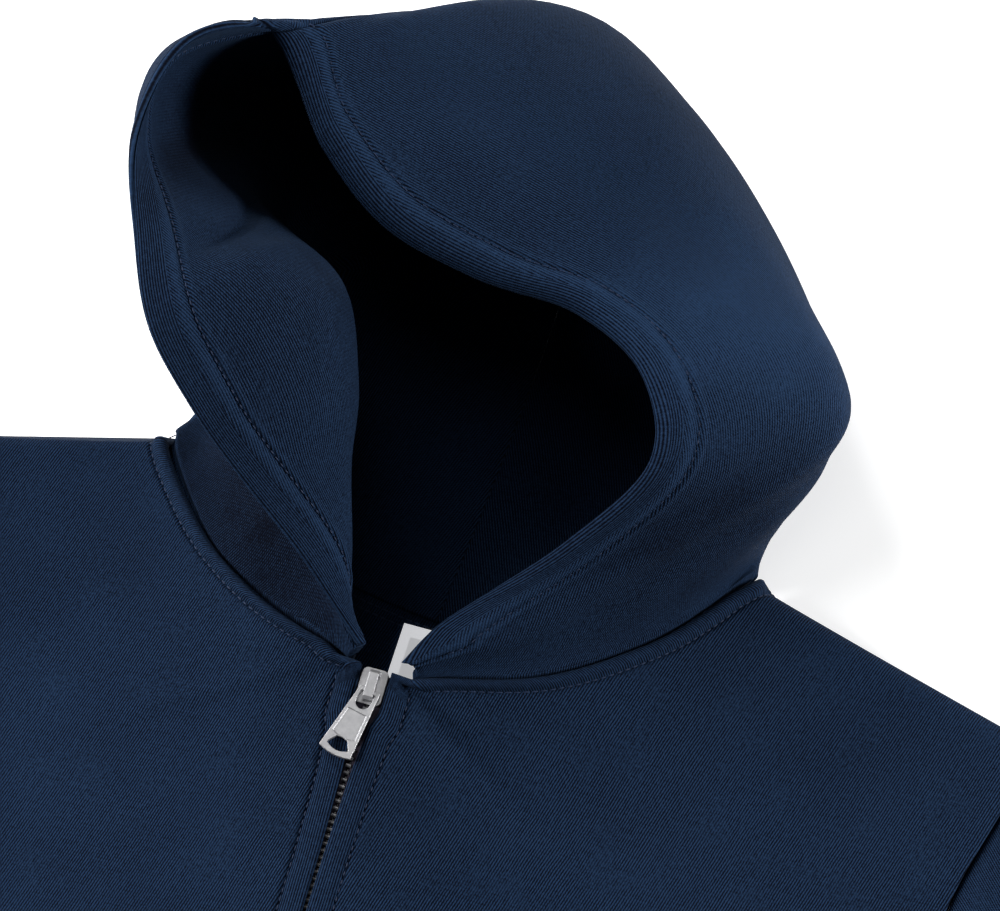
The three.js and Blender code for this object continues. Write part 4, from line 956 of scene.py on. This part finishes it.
tooth_tree, t = tree_with("Zip teeth along a line", Geometry="Geometry", Across="Float", Along="Float",
                          Thick="Float", Finish="Material")
bar = t["Along"].node("GeometryNodeMeshCylinder", {"Vertices": 14, "Radius": 0.5, "Depth": 1.0},
                      output="Mesh")
size = bar.node("ShaderNodeCombineXYZ", {0: t["Thick"], 1: t["Along"], 2: t["Across"]})
teeth = bar.node("GeometryNodeInstanceOnPoints", {
    "Points": t["Geometry"], "Instance": bar, "Rotation": (0.0, math.pi / 2, 0.0), "Scale": size})
ends_in(tooth_tree, teeth, t["Finish"])
tooth_rows = [zip_path(CHAIN_TOP_Y - start, ZIP_X + x) + (0, 0, lift) for start, x, lift in TOOTH_ROWS]
teeth = made_by("zip_teeth", lines_mesh("tooth places", tooth_rows), tooth_tree,
                {"Across": 0.0019, "Along": 0.00125, "Thick": 0.0024, "Finish": metal})
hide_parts("zip_chain")
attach(teeth, "garment")


def softened(name, node, body, turns, voxel=0.00013):
    """A hard piece's solid with its edges rounded, as a new piece."""
    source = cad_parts[node]
    mesh = source.data.copy()
    mesh.transform(source.matrix_world)
    piece = in_scene(name, mesh)
    remesh = piece.modifiers.new("even faces", "REMESH")
    remesh.mode, remesh.voxel_size, remesh.adaptivity = "VOXEL", voxel, 0.0
    smooth = piece.modifiers.new("round edges", "SMOOTH")
    smooth.factor, smooth.iterations = 0.5, turns
    bpy.context.view_layer.update()
    shaped = bpy.data.meshes.new_from_object(piece.evaluated_get(bpy.context.evaluated_depsgraph_get()))
    piece.modifiers.clear()
    piece.data = shaped
    shaped.name = name
    shaped.materials.clear()
    shaped.materials.append(metal)
    shaped.polygons.foreach_set("use_smooth", np.ones(len(shaped.polygons), bool))
    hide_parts(node)
    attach(piece, body)


softened("slider_cast", "zip_slider", "garment", turns=4)
softened("tab_cast", "zip_pull_tab", "pull_tab", turns=3)


# Neck label. A woven satin label, white with a plain grey panel, sewn below the back neck seam.
PANEL_SIDE, PANEL_FOOT, PANEL_HEAD, PANEL_BLUR = 0.0035, 0.004, 0.0045, 0.0004  # its margins and soft edge
GLOW_FROM, GLOW_TO = 0.026, 0.034  # up the label, where its painted glow fades in
label_cloth, wire, shader = finish_of("label satin")
where = wire.node("ShaderNodeTexCoord", output=3)
x = wire.node("ShaderNodeSeparateXYZ", {0: where})
y = x.beside(1)
low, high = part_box("neck_label")
inset = lambda value, a, b: value.ramp(a, a + PANEL_BLUR) * (1 - value.ramp(b - PANEL_BLUR, b))
panel = (inset(x, low[0] + PANEL_SIDE, high[0] - PANEL_SIDE)
         * inset(y, low[1] + PANEL_FOOT, high[1] - PANEL_HEAD))
tones = mixed(panel, (0.90, 0.91, 0.94, 1), (0.66, 0.67, 0.69, 1))
feed(shader, {
    "Base Color": tones,
    "Roughness": 0.55,
    "Emission Color": mixed(y.ramp(low[1] + GLOW_FROM, low[1] + GLOW_TO), (0, 0, 0, 1), tones),
    "Emission Strength": 0.55,  # a painted glow, which keeps the satin white in the shade of the hem
})
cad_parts["neck_label"].data.materials.clear()
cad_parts["neck_label"].data.materials.append(label_cloth)


# Studio. A white table that glows a little, and soft square lights low on both sides, at the back left, at
# the front left, and weakly from above.
bpy.ops.mesh.primitive_plane_add(size=12, location=(0, 0, -0.0005))
floor = bpy.context.object
floor.name = "table"
table_top, wire, shader = finish_of("white table")
feed(shader, {"Base Color": (0.96, 0.96, 0.96, 1), "Roughness": 0.9,
              "Emission Color": (1, 1, 1, 1), "Emission Strength": 0.30})
floor.data.materials.append(table_top)

LIGHT_SIZE, LIT_POINT = 0.8, (0, 0.2, 0.04)
LIGHTS = (  # name, place, power
    ("low on the right", (1.9, 0.5, 0.8), 50.0),
    ("from the back left", (-1.15, 1.35, 1.35), 28.0),
    ("from the front left", (-1.6, -0.4, 1.2), 34.0),
    ("low on the left", (-1.9, 0.3, 0.7), 24.0),
    ("above", (0.0, 0.3, 2.2), 3.5),
)
for name, place, power in LIGHTS:
    data = bpy.data.lights.new(name, "AREA")
    data.size, data.energy = LIGHT_SIZE, power
    lamp = in_scene(name, data)
    lamp.location = place
    lamp.rotation_euler = (Vector(LIT_POINT) - Vector(place)).to_track_quat("-Z", "Y").to_euler()
world = bpy.data.worlds.new("studio")
world.use_nodes = True
feed(world.node_tree.nodes["Background"], {0: (1, 1, 1, 1), 1: 0.03})
bpy.context.scene.world = world
bpy.context.scene.view_settings.view_transform = "Standard"
